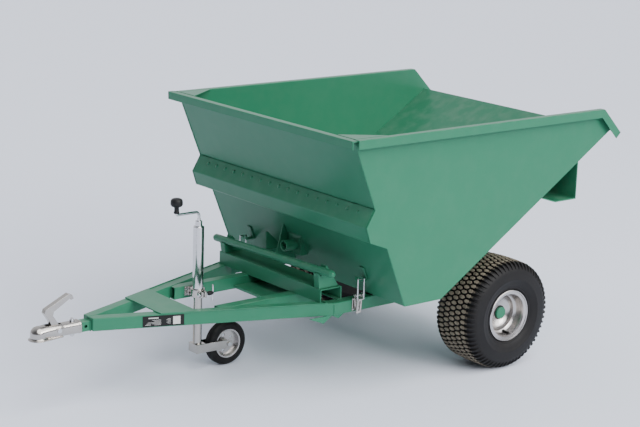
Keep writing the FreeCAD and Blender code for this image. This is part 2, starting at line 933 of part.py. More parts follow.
def pivot_pins():
    """The two headed pins that the hopper tips on."""
    shank_half = D.leg_thick / 2 + D.leg_gap + D.lug_thick + 1
    pieces = []
    for side, word in ((1, "left"), (-1, "right")):
        piece = Piece(f"pivot_pin_{word}", (ahead(D.pivot_at), side * D.pivot_y, D.pivot_z))
        piece.pad("XZ", [circle((0, 0), D.pivot_radius)], 2 * shank_half)
        head = -side * (shank_half + D.pin_head_thick / 2)
        piece.pad("XZ", [circle((0, 0), D.pin_head)], D.pin_head_thick, head)
        pieces.append(piece)
    group("pivot_pins", pieces)


def bar_height(y):
    """The height of the tipping lever bar's centre line across the trailer."""
    return D.bar_z + math.tan(math.radians(DIMENSIONS["bar_rise_deg"])) * (y - D.bar_y)


def bar_saddles():
    """The two blocks with a back stop that the lever bar lies on."""
    pieces = []
    for side, word in ((1, "left"), (-1, "right")):
        height = bar_height(side * D.saddle_y)
        shelf = height - D.bar_radius - 1
        outline = [
            (ahead(D.channel_rear + 10), D.channel_top),
            (ahead(D.channel_front - 1), D.channel_top),
            (ahead(D.bar_x + 20), shelf + 9),
            (ahead(D.bar_x + 15), shelf + 9),
            (ahead(D.bar_x + 9), shelf),
            (ahead(D.bar_x - 9), shelf),
            (ahead(D.bar_x - 19), shelf + 12),
            (ahead(D.bar_x - 19), height + D.bar_radius + 4),
            (ahead(D.bar_x - 27), height + D.bar_radius + 4),
        ]
        pieces.append(prism(f"bar_saddle_{word}", "XZ", [polygon(outline)], D.saddle_wide, side * D.saddle_y))
    group("bar_saddles", pieces)


def tip_bar():
    """The loose tube, rounded at both ends, that lies in the saddles and levers the hopper up."""
    piece = Piece("tip_bar", (ahead(D.bar_x), D.bar_y, D.bar_z))
    piece.body.Placement.Rotation = FreeCAD.Rotation(VECTOR(1, 0, 0), DIMENSIONS["bar_rise_deg"])
    bore = D.bar_radius - D.bar_wall
    section = [
        (as_size(0), -D.bar_half),
        (D.bar_radius * 0.6, -D.bar_half + D.bar_radius * 0.2),
        (D.bar_radius, -D.bar_half + D.bar_radius),
        (D.bar_radius, D.bar_half - D.bar_radius),
        (D.bar_radius * 0.6, D.bar_half - D.bar_radius * 0.2),
        (as_size(0), D.bar_half),
        (as_size(0), D.bar_half - D.bar_radius),
        (bore, D.bar_half - D.bar_radius - 1),
        (bore, -D.bar_half + D.bar_radius + 1),
        (as_size(0), -D.bar_half + D.bar_radius),
    ]
    piece.turn("XY", [polygon(section)])
    piece.keep()


def latch_bases():
    """The plates on the rails with the ears that carry the latch levers."""
    pieces = []
    for side, word in ((1, "left"), (-1, "right")):
        piece = Piece(f"latch_base_{word}", (ahead(D.latch_x), 0, 0))
        face = [(-26, 330), (26, 330), (26, 386), (-26, 386)]
        piece.pad("XZ", [polygon(face)], as_size(4), -side * (D.frame_half + 2))
        ear_y = side * D.latch_pin_y
        ear = [
            (side * (D.frame_half + 0.5), as_size(372)),
            (side * (D.frame_half + 0.5), as_size(386)),
            (ear_y - side * 7, D.latch_pin_z + 6),
            (ear_y + side * 5, D.latch_pin_z + 6),
            (ear_y + side * 5, D.latch_pin_z - 6),
        ]
        hole = circle((ear_y, D.latch_pin_z), 4 + D.running_gap)
        for shift in (-22, 22):
            piece.pad("YZ", [polygon(ear), hole], as_size(4), as_size(shift))
        pieces.append(piece)
    group("latch_bases", pieces)


def latch_lever(name, side):
    """The over-centre lever, with its own pin and a barrel that the bail turns in."""
    piece = Piece(name, (ahead(D.latch_x), 0, 0))
    pin_y = side * D.latch_pin_y
    bail_y = side * D.bail_y
    piece.pad("YZ", [circle((pin_y, D.latch_pin_z), 4)], as_size(52))
    piece.pad("YZ", [circle((pin_y, D.latch_pin_z), 6)], as_size(38))
    blade = [
        (pin_y + side * 2, D.latch_pin_z + 4),
        (bail_y - side * 1, D.bail_low_z + 3),
        (bail_y - side * 3, D.bail_low_z - 3),
        (bail_y - side * 9, as_size(318)),
        (bail_y - side * 13, as_size(318)),
        (pin_y - side * 2, D.latch_pin_z - 4),
    ]
    piece.pad("YZ", [polygon(blade)], as_size(26))
    barrel = [circle((bail_y, D.bail_low_z), 5.5)]
    piece.pad("YZ", barrel, as_size(26))
    piece.pocket("YZ", [circle((bail_y, D.bail_low_z), D.bail_rod + D.running_gap)], as_size(60))
    slot = [(-7, 372), (7, 372), (3, 330), (-3, 330)]
    piece.pocket("XZ", [polygon(slot)], as_size(60), -side * D.latch_pin_y)
    piece.keep()


def latch_bail(name, side):
    """The wire loop that pulls the hopper down."""
    piece = Piece(name, (ahead(D.latch_x), side * D.bail_y, 0))
    rod = D.bail_rod
    half = D.bail_half
    for shift in (-half, half):
        piece.pad("XY", [circle((shift, 0), rod)], D.bail_top_z - D.bail_low_z + 2 * rod,
                  (D.bail_top_z + D.bail_low_z) / 2)
    for height in (D.bail_low_z, D.bail_top_z):
        piece.pad("YZ", [circle((0, height), rod)], 2 * (half + rod))
    piece.keep()


def coupling_body():
    """The coupling head: sleeve, two cheeks and a dome over the ball seat."""
    piece = Piece("coupling_body")
    middle = ahead((D.sleeve_back + D.sleeve_front) / 2)
    sleeve = square((as_size(0), D.stub_z), D.sleeve_side)
    piece.pad("YZ", [sleeve], D.sleeve_front - D.sleeve_back, middle)
    cheeks = [
        (ahead(D.sleeve_front - 8), D.stub_z - 24),
        (ahead(1932), as_size(318)),
        (ahead(D.ball_x), as_size(318)),
        (ahead(D.ball_x), as_size(363)),
        (ahead(1994), as_size(370)),
        (ahead(1950), as_size(372)),
        (ahead(D.sleeve_front - 8), D.stub_z + 24),
    ]
    piece.pad("XZ", [polygon(cheeks)], 2 * D.cheek_half)
    slot = rectangle((ahead(D.sleeve_front + 8), as_size(290)), (ahead(D.ball_x - 27), as_size(400)))
    piece.pocket("XZ", [slot], 2 * D.slot_half)
    window = rectangle((ahead(D.ball_x - 30), as_size(290)), (ahead(D.ball_x - 15), as_size(358)))
    piece.pocket("XZ", [window], 2 * D.slot_half)
    bore = square((as_size(0), D.stub_z), D.stub_side + 0.6)
    piece.pocket("YZ", [bore], D.sleeve_front - D.sleeve_back, middle - 5)
    seat = Piece("ball_space", (ahead(D.ball_x), 0, D.ball_z))
    reach = D.ball_seat
    diagonal = reach * math.sqrt(0.5)
    ball = [
        (as_size(0), as_size(-60)),
        (reach, as_size(-60)),
        (reach, as_size(0)),
        (reach * 0.924, reach * 0.383),
        (diagonal, diagonal),
        (reach * 0.383, reach * 0.924),
        (as_size(0), reach),
    ]
    seat.turn("XZ", [polygon(ball)])
    dome = Piece("coupling_dome", (ahead(D.ball_x), 0, D.ball_z))
    shell = [
        (as_size(0), as_size(-27)),
        (D.dome_radius, as_size(-27)),
        (D.dome_radius, as_size(-21)),
        (as_size(35), as_size(-17)),
        (as_size(33.5), as_size(4)),
        (as_size(29), as_size(18)),
        (as_size(20), as_size(27)),
        (as_size(9), as_size(30.6)),
        (as_size(0), as_size(31)),
    ]
    dome.turn("XZ", [polygon(shell)])
    opening = rectangle((as_size(-42), as_size(-40)), (as_size(-15), as_size(13)))
    dome.pocket("XZ", [opening], 2 * D.slot_half)
    whole = DOC.addObject("Part::Fuse", "coupling_head_whole")
    whole.Base = piece.body
    whole.Tool = dome.body
    cut_one = DOC.addObject("Part::Cut", "coupling_head_seated")
    cut_one.Base = whole
    cut_one.Tool = seat.body
    holes = Piece("coupling_holes")
    holes.pad("XZ", [circle((ahead(D.handle_pin_x), D.handle_pin_z), D.handle_pin)], as_size(200))
    drill = Piece("coupling_drill")
    drill.pad("XY", [circle((ahead(D.coupling_bolt_x), as_size(0)), D.coupling_bolt)], as_size(300), D.stub_z)
    cut_two = DOC.addObject("Part::Cut", "coupling_head_pinned")
    cut_two.Base = cut_one
    cut_two.Tool = holes.body
    cut_three = DOC.addObject("Part::Cut", "coupling_body_solid")
    cut_three.Base = cut_two
    cut_three.Tool = drill.body
    cut_three.Label = "coupling_body_made"
    NODES["coupling_body"] = cut_three


def coupling_bolts():
    """The upright bolt through sleeve and stub, and the cross pin that the handle turns on."""
    bolt = Piece("coupling_bolt", (ahead(D.coupling_bolt_x), 0, D.stub_z))
    half = D.sleeve_side / 2
    bolt.pad("XY", [circle((0, 0), D.coupling_bolt)], D.sleeve_side + 28, as_size(2))
    bolt.pad("XY", [circle((0, 0), 10.5)], as_size(9), half + 4.5)
    bolt.pad("XY", [circle((0, 0), 10)], as_size(8), -half - 4)
    pin = Piece("handle_pin", (ahead(D.handle_pin_x), 0, D.handle_pin_z))
    pin.pad("XZ", [circle((0, 0), D.handle_pin)], 2 * D.cheek_half)
    for side in (1, -1):
        pin.pad("XZ", [circle((0, 0), 10)], as_size(5), side * (D.cheek_half + 2.5))
    group("coupling_bolts", [bolt, pin])


def coupling_handle():
    """The folded release lever, hooked at its end."""
    outline = [
        (1917, 338),
        (1944, 338),
        (1966, 392),
        (1989, 426),
        (1984, 441),
        (1877, 492),
        (1862, 487),
        (1855, 470),
        (1867, 466),
        (1874, 472),
        (1946, 428),
        (1950, 412),
        (1918, 362),
    ]
    points = [(ahead(x), as_size(z)) for x, z in outline]
    piece = Piece("coupling_handle")
    piece.pad("XZ", [polygon(points)], 2 * D.handle_half)
    inner = [
        (1900, 330),
        (1939, 330),
        (1962, 394),
        (1985, 428),
        (1981, 438),
        (1882, 485),
        (1890, 450),
        (1880, 400),
    ]
    hollow = [(ahead(x), as_size(z)) for x, z in inner]
    piece.pocket("XZ", [polygon(hollow)], 2 * (D.handle_half - D.handle_sheet))
    hole = circle((ahead(D.handle_pin_x), D.handle_pin_z), D.handle_pin + D.running_gap)
    piece.pocket("XZ", [hole], as_size(100))
    piece.keep()


def coupling_jaw():
    """The clamp behind the ball, hollowed to the ball's radius."""
    piece = Piece("coupling_jaw")
    block = [(1956, 320), (1986, 320), (1986, 344), (1976, 356), (1960, 356), (1956, 346)]
    points = [(ahead(x), as_size(z)) for x, z in block]
    piece.pad("XZ", [polygon(points)], 2 * (D.slot_half - 1))
    piece.pocket("XZ", [circle((ahead(D.ball_x - 5), D.ball_z), D.ball_seat)], as_size(60))
    piece.keep()


def jockey_clamp():
    """The split ring on the stringer that grips the jockey tube."""
    piece = Piece("jockey_clamp", (ahead(D.jockey_x), D.jockey_y, (D.clamp_low + D.clamp_high) / 2))
    high = D.clamp_high - D.clamp_low
    back = D.jockey_y + D.stringer_inner
    wall_y = -back
    piece.pad("XY", [circle((0, 0), D.clamp_radius)], high)
    arm = rectangle((as_size(-22), wall_y + 0.2), (as_size(22), as_size(-20)))
    piece.pad("XY", [arm], high)
    base = rectangle((-D.clamp_base_half, wall_y), (D.clamp_base_half, wall_y + D.clamp_base_thick))
    piece.pad("XY", [base], high + 6)
    lugs = rectangle((as_size(-13), as_size(20)), (as_size(13), as_size(50)))
    piece.pad("XY", [lugs], high - 8)
    piece.pocket("XY", [circle((0, 0), D.tube_radius + 0.08)], 2 * high)
    gap = rectangle((as_size(-3), as_size(10)), (as_size(3), as_size(60)))
    piece.pocket("XY", [gap], 2 * high)
    screw_y = D.screw_y - D.jockey_y
    piece.pocket("YZ", [circle((screw_y, 0), D.screw_radius + D.running_gap)], as_size(80))
    piece.keep()


def clamp_handle():
    """The tommy screw that closes the clamp."""
    piece = Piece("clamp_handle", (ahead(D.jockey_x), D.screw_y, (D.clamp_low + D.clamp_high) / 2))
    piece.pad("YZ", [circle((0, 0), D.screw_radius)], as_size(80), as_size(-18))
    piece.pad("YZ", [circle((0, 0), 9)], as_size(10), as_size(20))
    piece.pad("XY", [circle((as_size(-52), 0), 4.5)], as_size(72))
    piece.keep()


def jockey_tube():
    """The outer tube with its cap and collar."""
    piece = Piece("jockey_tube", (ahead(D.jockey_x), D.jockey_y, 0))
    bore = D.tube_radius - D.tube_wall
    rod = D.spindle_rod + D.running_gap
    section = [
        (bore, D.tube_bottom),
        (D.tube_radius, D.tube_bottom),
        (D.tube_radius, D.tube_top - 3),
        (D.tube_radius - 3, D.tube_top),
        (D.collar_radius, D.tube_top),
        (D.collar_radius, D.collar_top),
        (rod, D.collar_top),
        (rod, D.tube_top - 6),
        (bore, D.tube_top - 6),
    ]
    piece.turn("XZ", [polygon(section)])
    piece.keep()


def jockey_crank():
    """The threaded spindle, bent over at its top into the crank arm."""
    piece = Piece("jockey_crank", (ahead(D.jockey_x), D.jockey_y, 0))
    rod_top = D.arm_z - D.arm_bend
    low = D.rod_bottom
    piece.pad("XY", [circle((0, 0), D.spindle_rod)], rod_top - 12 - low, (rod_top - 12 + low) / 2)
    profile = piece.sketch("XY", [circle((0, 0), D.arm_rod)], rod_top - 14)
    path = piece.sketch("XZ", [])
    bend = D.arm_bend.value
    turn_z = rod_top.value
    reach = D.arm_long.value
    upright = draw_line(path, (0, turn_z - 14), (0, turn_z))
    arc = path.addGeometry(
        Part.ArcOfCircle(Part.Circle(VECTOR(bend, turn_z, 0), VECTOR(0, 0, 1), bend), math.pi / 2, math.pi)
    )
    level = draw_line(path, (bend, turn_z + bend), (reach, turn_z + bend))
    path.addConstraint(Sketcher.Constraint("Tangent", upright, 2, arc, 2))
    path.addConstraint(Sketcher.Constraint("Tangent", arc, 1, level, 1))
    fix_point(path, upright, 1, (as_size(0), rod_top - 14))
    fix_point(path, upright, 2, (as_size(0), rod_top))
    fix_point(path, level, 2, (D.arm_long, D.arm_z))
    pipe = piece.body.newObject("PartDesign::AdditivePipe", "jockey_crank_arm")
    pipe.Profile = profile
    pipe.Spine = (path, ["Edge1", "Edge2", "Edge3"])
    peg = [circle((D.arm_long, as_size(0)), D.arm_rod)]
    piece.pad("XY", peg, D.knob_neck - D.arm_z, (D.knob_neck + D.arm_z) / 2)
    piece.keep()


def jockey_knob():
    """The turning mushroom knob on the crank's peg."""
    piece = Piece("jockey_knob", (ahead(D.jockey_x + D.arm_long), D.jockey_y, 0))
    bore = D.arm_rod + D.running_gap
    section = [
        (bore, D.knob_low),
        (D.stem_radius - 2, D.knob_low),
        (D.stem_radius, D.knob_low + 4),
        (D.stem_radius - 1, D.knob_neck - 4),
        (D.knob_radius - 6, D.knob_neck),
        (D.knob_radius, D.knob_neck + 8),
        (D.knob_radius, D.knob_top - 14),
        (D.knob_radius - 7, D.knob_top - 3),
        (as_size(10), D.knob_top),
        (as_size(0), D.knob_top),
        (as_size(0), D.knob_neck + 1),
        (bore, D.knob_neck + 1),
    ]
    piece.turn("XZ", [polygon(section)])
    piece.keep()


def jockey_nut():
    """The keyed nut inside the tube that the spindle drives up and down."""
    piece = Piece("jockey_nut", (ahead(D.jockey_x), D.jockey_y, 0))
    ring = [circle((0, 0), D.nut_radius), circle((0, 0), D.spindle_rod + D.running_gap)]
    piece.pad("XY", ring, D.nut_high - D.nut_low, (D.nut_high + D.nut_low) / 2)
    piece.keep()


def jockey_leg():
    """The inner tube with the fork welded to its foot."""
    piece = Piece("jockey_leg", (ahead(D.jockey_x), D.jockey_y, 0))
    bore = D.leg_radius - D.leg_wall
    tube = [circle((0, 0), D.leg_radius), circle((0, 0), bore)]
    piece.pad("XY", tube, D.leg_top - D.leg_foot, (D.leg_top + D.leg_foot) / 2)
    trail = D.jockey_wheel_x - D.jockey_x
    half = D.fork_high / 2
    axle_z = D.jockey_wheel_z
    outer = D.fork_gap + D.fork_sheet
    bridge = [
        rectangle((as_size(-27), -outer), (as_size(24), outer)),
        circle((0, 0), bore),
    ]
    piece.pad("XY", bridge, D.fork_high, axle_z + 4)
    arm = [
        (as_size(24), axle_z + 4 - half),
        (as_size(24), axle_z + 4 + half),
        (trail, axle_z + half - 1),
        (trail - 14, axle_z + 14),
        (trail - 19, axle_z),
        (trail - 14, axle_z - 14),
        (trail, axle_z - half + 1),
    ]
    hole = circle((trail, axle_z), D.jockey_bolt)
    middle = D.fork_gap + D.fork_sheet / 2
    for side in (1, -1):
        piece.pad("XZ", [polygon(arm), hole], D.fork_sheet, side * middle)
    piece.keep()


def jockey_axle():
    """The bolt with head and nut that the jockey wheel turns on."""
    piece = Piece("jockey_axle", (ahead(D.jockey_wheel_x), D.jockey_y, D.jockey_wheel_z))
    grip = D.fork_gap + D.fork_sheet
    piece.pad("XZ", [circle((0, 0), D.jockey_bolt)], 2 * grip + 8)
    for side in (1, -1):
        piece.pad("XZ", [circle((0, 0), 10)], as_size(7), side * (grip + 3.5))
    piece.keep()


def jockey_rim():
    """The pressed rim with a hub and five round holes in its disc."""
    piece = Piece("jockey_rim", (ahead(D.jockey_wheel_x), D.jockey_y, D.jockey_wheel_z))
    bore = D.jockey_bolt + D.running_gap
    hub = as_size(14)
    half = D.fork_gap - 1
    disc = as_size(3)
    lip = D.jockey_half - 2
    section = [
        (bore, -half),
        (hub, -half),
        (hub, -disc),
        (D.jockey_rim - 9, -disc),
        (D.jockey_rim - 7, -lip),
        (D.jockey_rim, -lip - 1),
        (D.jockey_rim, lip + 1),
        (D.jockey_rim - 7, lip),
        (D.jockey_rim - 9, disc),
        (hub, disc),
        (hub, half),
        (bore, half),
    ]
    piece.turn("XY", [polygon(section)])
    hole = piece.pocket("XZ", [circle((as_size(36), 0), 7)], as_size(60))
    piece.repeat_round(hole, "Y", 5)
    piece.keep()


def jockey_tyre():
    """The solid rubber tyre."""
    piece = Piece("jockey_tyre", (ahead(D.jockey_wheel_x), D.jockey_y, D.jockey_wheel_z))
    half = D.jockey_half
    outer = D.jockey_radius
    section = [
        (D.jockey_rim, -half + 2),
        (D.jockey_rim + 6, -half),
        (outer - 12, -half),
        (outer - 3, -half + 8),
        (outer, -half + 16),
        (outer, half - 16),
        (outer - 3, half - 8),
        (outer - 12, half),
        (D.jockey_rim + 6, half),
        (D.jockey_rim, half - 2),
    ]
    piece.turn("XY", [polygon(section)])
    piece.keep()


def mirrored(points):
    """Points of one half of a section, followed by their mirror images in reverse."""
    return points + [(radius, -across) for radius, across in points[::-1]]


def tyre(name, side):
    """A hollow low-pressure tyre."""
    piece = Piece(name, (D.axle_x, side * D.wheel_y, D.wheel_radius))
    top = D.wheel_radius
    wide = D.tyre_half
    outside = [
        (D.bead_radius, as_size(99)),
        (D.flange_radius + 4, as_size(103)),
        (as_size(148), wide - 5),
        (as_size(185), wide),
        (as_size(214), wide - 4),
        (top - 14, D.tread_half),
        (top - 3, D.tread_half - 26),
        (top, as_size(45)),
    ]
    inside = [
        (top - 17, as_size(0)),
        (top - 19, as_size(55)),
        (top - 28, as_size(88)),
        (as_size(208), wide - 18),
        (as_size(185), wide - 14),
        (as_size(150), wide - 20),
        (as_size(122), as_size(90)),
        (D.bead_radius, as_size(86)),
    ]
    upper = outside[::-1] + inside[::-1]
    lower = [(radius, -across) for radius, across in inside[1:] + outside]
    piece.turn("XY", [polygon(upper + lower)])
    piece.keep()


def wheel_rim(name, side):
    """The pressed rim with its conical disc and hub tube."""
    piece = Piece(name, (D.axle_x, side * D.wheel_y, D.wheel_radius))
    seat = D.seat_radius
    flange = D.flange_y
    barrel = [
        (D.flange_radius, flange),
        (seat, flange - 9),
        (seat, as_size(64)),
        (D.drop_radius, as_size(52)),
        (D.drop_radius, as_size(-52)),
        (seat, as_size(-64)),
        (seat, -flange + 9),
        (D.flange_radius, -flange),
    ]
    piece.turn("XY", [folded(barrel[::-1], D.rim_sheet)])
    disc = [
        (D.hub_inner, -side * D.hub_inside),
        (D.hub_outer, -side * D.hub_inside),
        (D.hub_outer, side * as_size(8)),
        (D.drop_radius - 2, side * as_size(30)),
        (D.drop_radius - 2, side * as_size(35)),
        (D.hub_outer, side * as_size(14)),
        (D.hub_outer, side * D.hub_outside),
        (D.hub_inner, side * D.hub_outside),
    ]
    piece.turn("XY", [polygon(disc)])
    piece.keep()


def wheel_bearings(name, side):
    """The two bearing rings between hub tube and spindle."""
    pieces = []
    half = D.bearing_wide / 2
    for word, place in (("outer", D.hub_outside - half), ("inner", -D.hub_inside + half)):
        ring = [circle((0, 0), D.hub_inner), circle((0, 0), D.spindle_radius + D.running_gap)]
        piece = Piece(f"{name}_{word}", (D.axle_x, side * (D.wheel_y + place), D.wheel_radius))
        piece.pad("XZ", ring, D.bearing_wide)
        pieces.append(piece)
    group(name, pieces)


def hub_cap(name, side):
    """The cap over the end of the hub."""
    piece = Piece(name, (D.axle_x, side * D.wheel_y, D.wheel_radius))
    start = D.hub_outside + 0.2
    hollow = D.cap_radius - D.cap_wall
    section = [
        (as_size(0), side * D.cap_out),
        (D.cap_radius - 3, side * D.cap_out),
        (D.cap_radius, side * (D.cap_out - 3)),
        (D.cap_radius, side * start),
        (hollow, side * start),
        (hollow, side * (D.cap_out - D.cap_wall)),
        (as_size(0), side * (D.cap_out - D.cap_wall)),
    ]
    piece.turn("XY", [polygon(section)])
    piece.keep()


def valve(name, side):
    """The tyre valve that stands out of the rim's step."""
    piece = Piece(name, (D.axle_x, side * D.wheel_y, D.wheel_radius))
    middle = (D.valve_start + D.valve_end) / 2
    centre = (as_size(-22), -D.valve_at)
    piece.pad("XZ", [circle(centre, D.valve_radius)], D.valve_end - D.valve_start, -side * middle)
    piece.keep()


def build_frame():
    """Everything that is welded or bolted to the frame."""
    for side, word in ((1, "left"), (-1, "right")):
        drawbar(f"drawbar_{word}", side)
        rail(f"rail_{word}", side)
        stringer(f"stringer_{word}", side)
    cross_tube("rear_cross_member", D.frame_rear + D.member_wide / 2, D.frame_half)
    cross_tube("pivot_cross_member", D.pivot_at, D.frame_half - D.member_wide)
    cross_channel()
    front_cross_member()
    frame_gussets()
    rest_pads()
    axle()
    axle_hangers()
    pivot_lugs()
    coupling_stub()
    data_plate()
    bar_saddles()
    latch_bases()


def build_hopper():
    """The tipping hopper and what is welded to it."""
    side_plate("side_plate_left", 1)
    side_plate("side_plate_right", -1)
    front_plate()
    chute_plate()
    front_stiffener()
    rear_stiffener()
    corner_gussets()
    lever_socket()
    socket_stays()
    latch_keepers()
    pivot_legs()
    pivot_pins()


def build_fittings():
    """Coupling head, lever bar, latches and jockey wheel."""
    coupling_body()
    coupling_bolts()
    coupling_handle()
    coupling_jaw()
    tip_bar()
    for side, word in ((1, "left"), (-1, "right")):
        latch_lever(f"latch_lever_{word}", side)
        latch_bail(f"latch_bail_{word}", side)
    jockey_clamp()
    clamp_handle()
    jockey_tube()
    jockey_crank()
    jockey_knob()
    jockey_nut()
    jockey_leg()
    jockey_axle()
    jockey_rim()
    jockey_tyre()


def build_wheels():
    """The two running wheels."""
    for side, word in ((1, "left"), (-1, "right")):
        tyre(f"tyre_{word}", side)
        wheel_rim(f"rim_{word}", side)
        wheel_bearings(f"bearings_{word}", side)
        hub_cap(f"hub_cap_{word}", side)
        valve(f"valve_{word}", side)


def check_document():
    """Stop if any object failed or any node's shape is missing or broken."""
    for item in DOC.Objects:
        if "Invalid" in item.State or "Error" in item.State:
            raise RuntimeError(f"{item.Label} failed: {item.State}")
    for name, item in NODES.items():
        if item.Shape.isNull() or not item.Shape.isValid() or item.Shape.Volume <= 0:
            raise RuntimeError(f"{name} has no valid shape")


def export_nodes():
    """Write each node's shape to a file of its own."""
    os.makedirs("parts", exist_ok=True)
    for name, item in NODES.items():
        item.Shape.exportStep(f"parts/{name}.step")
    print(f"{len(NODES)} nodes written")


build_frame()
build_hopper()
build_fittings()
build_wheels()
DOC.recompute()
check_document()
export_nodes()
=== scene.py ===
"""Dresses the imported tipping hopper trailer: paint, plating, rubber, welds and fasteners, and the studio."""

import json
import logging
import math
from collections.abc import Sequence
from dataclasses import dataclass, field
from enum import Enum

import bmesh
import bpy
from mathutils import Matrix, Vector


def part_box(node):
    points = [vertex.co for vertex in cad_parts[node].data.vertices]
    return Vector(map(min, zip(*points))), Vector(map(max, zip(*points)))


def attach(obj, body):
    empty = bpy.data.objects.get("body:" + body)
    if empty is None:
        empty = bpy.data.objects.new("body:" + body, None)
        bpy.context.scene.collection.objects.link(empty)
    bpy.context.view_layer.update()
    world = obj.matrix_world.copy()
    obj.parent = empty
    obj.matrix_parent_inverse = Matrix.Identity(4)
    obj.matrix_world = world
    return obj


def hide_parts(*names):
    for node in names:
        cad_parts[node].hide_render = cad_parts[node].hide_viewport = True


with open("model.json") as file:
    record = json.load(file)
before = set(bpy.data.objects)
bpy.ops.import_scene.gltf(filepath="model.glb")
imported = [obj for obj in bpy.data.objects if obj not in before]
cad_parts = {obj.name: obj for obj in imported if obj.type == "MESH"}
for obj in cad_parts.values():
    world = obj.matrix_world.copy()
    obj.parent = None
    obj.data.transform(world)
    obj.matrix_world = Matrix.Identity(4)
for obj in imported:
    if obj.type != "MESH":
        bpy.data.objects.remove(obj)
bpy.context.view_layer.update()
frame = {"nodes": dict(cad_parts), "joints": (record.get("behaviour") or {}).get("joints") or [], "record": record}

LOG = logging.getLogger("trailer")
MM = 0.001

Colour = tuple[float, float, float]
Point = tuple[float, float, float]
Profile = list[tuple[float, float]]


class Side(Enum):
    """The trailer's two sides, with the sign of Y on each."""

    LEFT = 1
    RIGHT = -1

    @property
    def word(self) -> str:
        """The side's name as the CAD nodes spell it."""
        return self.name.lower()


class Axis(Enum):
    """The axis a turned shape spins about."""

    X = 0
    Y = 1
    Z = 2


# ---------------------------------------------------------------- shader groups


class Graph:
    """A node tree under construction, for shaders and for geometry."""

    def __init__(self, tree: bpy.types.NodeTree) -> None:
        """Wraps a tree.

        Args:
            tree: the node tree to build in.
        """
        self.tree = tree

    def add(self, kind: str, inputs: dict | None = None, **settings: object) -> bpy.types.Node:
        """Adds a node and fills it in.

        Args:
            kind: the node's type name.
            inputs: socket name or number to a value or to a socket to link from.
            settings: the node's own properties.

        Returns:
            The new node.
        """
        node = self.tree.nodes.new(kind)
        for name, value in settings.items():
            setattr(node, name, value)
        for key, value in (inputs or {}).items():
            if isinstance(value, bpy.types.NodeSocket):
                self.tree.links.new(value, node.inputs[key])
            else:
                node.inputs[key].default_value = value
        return node

    def math(self, operation: str, *values: object) -> bpy.types.NodeSocket:
        """Adds a Math node.

        Args:
            operation: the operation's name.
            values: its operands, numbers or sockets.

        Returns:
            The result's socket.
        """
        return self.add("ShaderNodeMath", dict(enumerate(values)), operation=operation).outputs[0]

    def times(self, *values: object) -> bpy.types.NodeSocket:
        """Multiplies two numbers or sockets."""
        return self.math("MULTIPLY", *values)

    def mapped(
        self, value: bpy.types.NodeSocket, low: float, high: float, to_low: float, to_high: float
    ) -> bpy.types.NodeSocket:
        """Adds a clamped Map Range node.

        Args:
            value: the socket to map.
            low: the value that becomes to_low.
            high: the value that becomes to_high.
            to_low: the result at low.
            to_high: the result at high.

        Returns:
            The result's socket.
        """
        inputs = {"Value": value, "From Min": low, "From Max": high, "To Min": to_low, "To Max": to_high}
        return self.add("ShaderNodeMapRange", inputs).outputs["Result"]

    def link(self, value: bpy.types.NodeSocket, socket: bpy.types.NodeSocket) -> None:
        """Links one socket to another."""
        self.tree.links.new(value, socket)

    def blended(self, share: bpy.types.NodeSocket, under: object, over: object) -> bpy.types.NodeSocket:
        """Blends two colours.

        Args:
            share: the share of the second colour.
            under: the first colour, or its socket.
            over: the second colour, or its socket.

        Returns:
            The result's socket.
        """
        return self.add("ShaderNodeMix", {0: share, 6: under, 7: over}, data_type="RGBA").outputs[2]


@dataclass(frozen=True)
class Effects:
    """The shader groups that several finishes share."""

    drift: bpy.types.NodeTree
    grain: bpy.types.NodeTree
    dust: bpy.types.NodeTree
    streaks: bpy.types.NodeTree


def new_group(
    name: str, inputs: dict[str, float], outputs: dict[str, str]
) -> tuple[Graph, bpy.types.Node, bpy.types.Node]:
    """Starts a shader group with named sockets.

    Args:
        name: the group's name.
        inputs: input names and their default numbers.
        outputs: output names and their socket types.

    Returns:
        The graph, its input node and its output node.
    """
    tree = bpy.data.node_groups.new(name, "ShaderNodeTree")
    for label, value in inputs.items():
        socket = tree.interface.new_socket(label, in_out="INPUT", socket_type="NodeSocketFloat")
        socket.default_value = value
    for label, kind in outputs.items():
        tree.interface.new_socket(label, in_out="OUTPUT", socket_type=kind)
    graph = Graph(tree)
    return graph, graph.add("NodeGroupInput"), graph.add("NodeGroupOutput")


def build_drift() -> bpy.types.NodeTree:
    """A slow change of tone over a surface.

    Returns:
        The group: Scale and Amount in, a factor about 1 out.
    """
    graph, entry, leave = new_group("tone_drift", {"Scale": 3.0, "Amount": 0.1}, {"Tone": "NodeSocketFloat"})
    place = graph.add("ShaderNodeTexCoord").outputs["Object"]
    noise = graph.add("ShaderNodeTexNoise", {"Vector": place, "Scale": entry.outputs["Scale"], "Detail": 3.0})
    swing = graph.times(graph.math("SUBTRACT", noise.outputs[0], 0.5), entry.outputs["Amount"])
    graph.link(graph.math("ADD", swing, 1.0), leave.inputs["Tone"])
    return graph.tree


def build_grain() -> bpy.types.NodeTree:
    """A fine bump laid over a broad one.

    Returns:
        The group: Fine, Broad and Share in, a height out.
    """
    inputs = {"Fine": 900.0, "Broad": 12.0, "Share": 0.5}
    graph, entry, leave = new_group("surface_grain", inputs, {"Height": "NodeSocketFloat"})
    place = graph.add("ShaderNodeTexCoord").outputs["Object"]
    fine = graph.add("ShaderNodeTexNoise", {"Vector": place, "Scale": entry.outputs["Fine"], "Detail": 2.0})
    broad = graph.add("ShaderNodeTexNoise", {"Vector": place, "Scale": entry.outputs["Broad"], "Detail": 2.0})
    share = entry.outputs["Share"]
    kept = graph.times(broad.outputs[0], share)
    rest = graph.times(fine.outputs[0], graph.math("SUBTRACT", 1.0, share))
    graph.link(graph.math("ADD", kept, rest), leave.inputs["Height"])
    return graph.tree


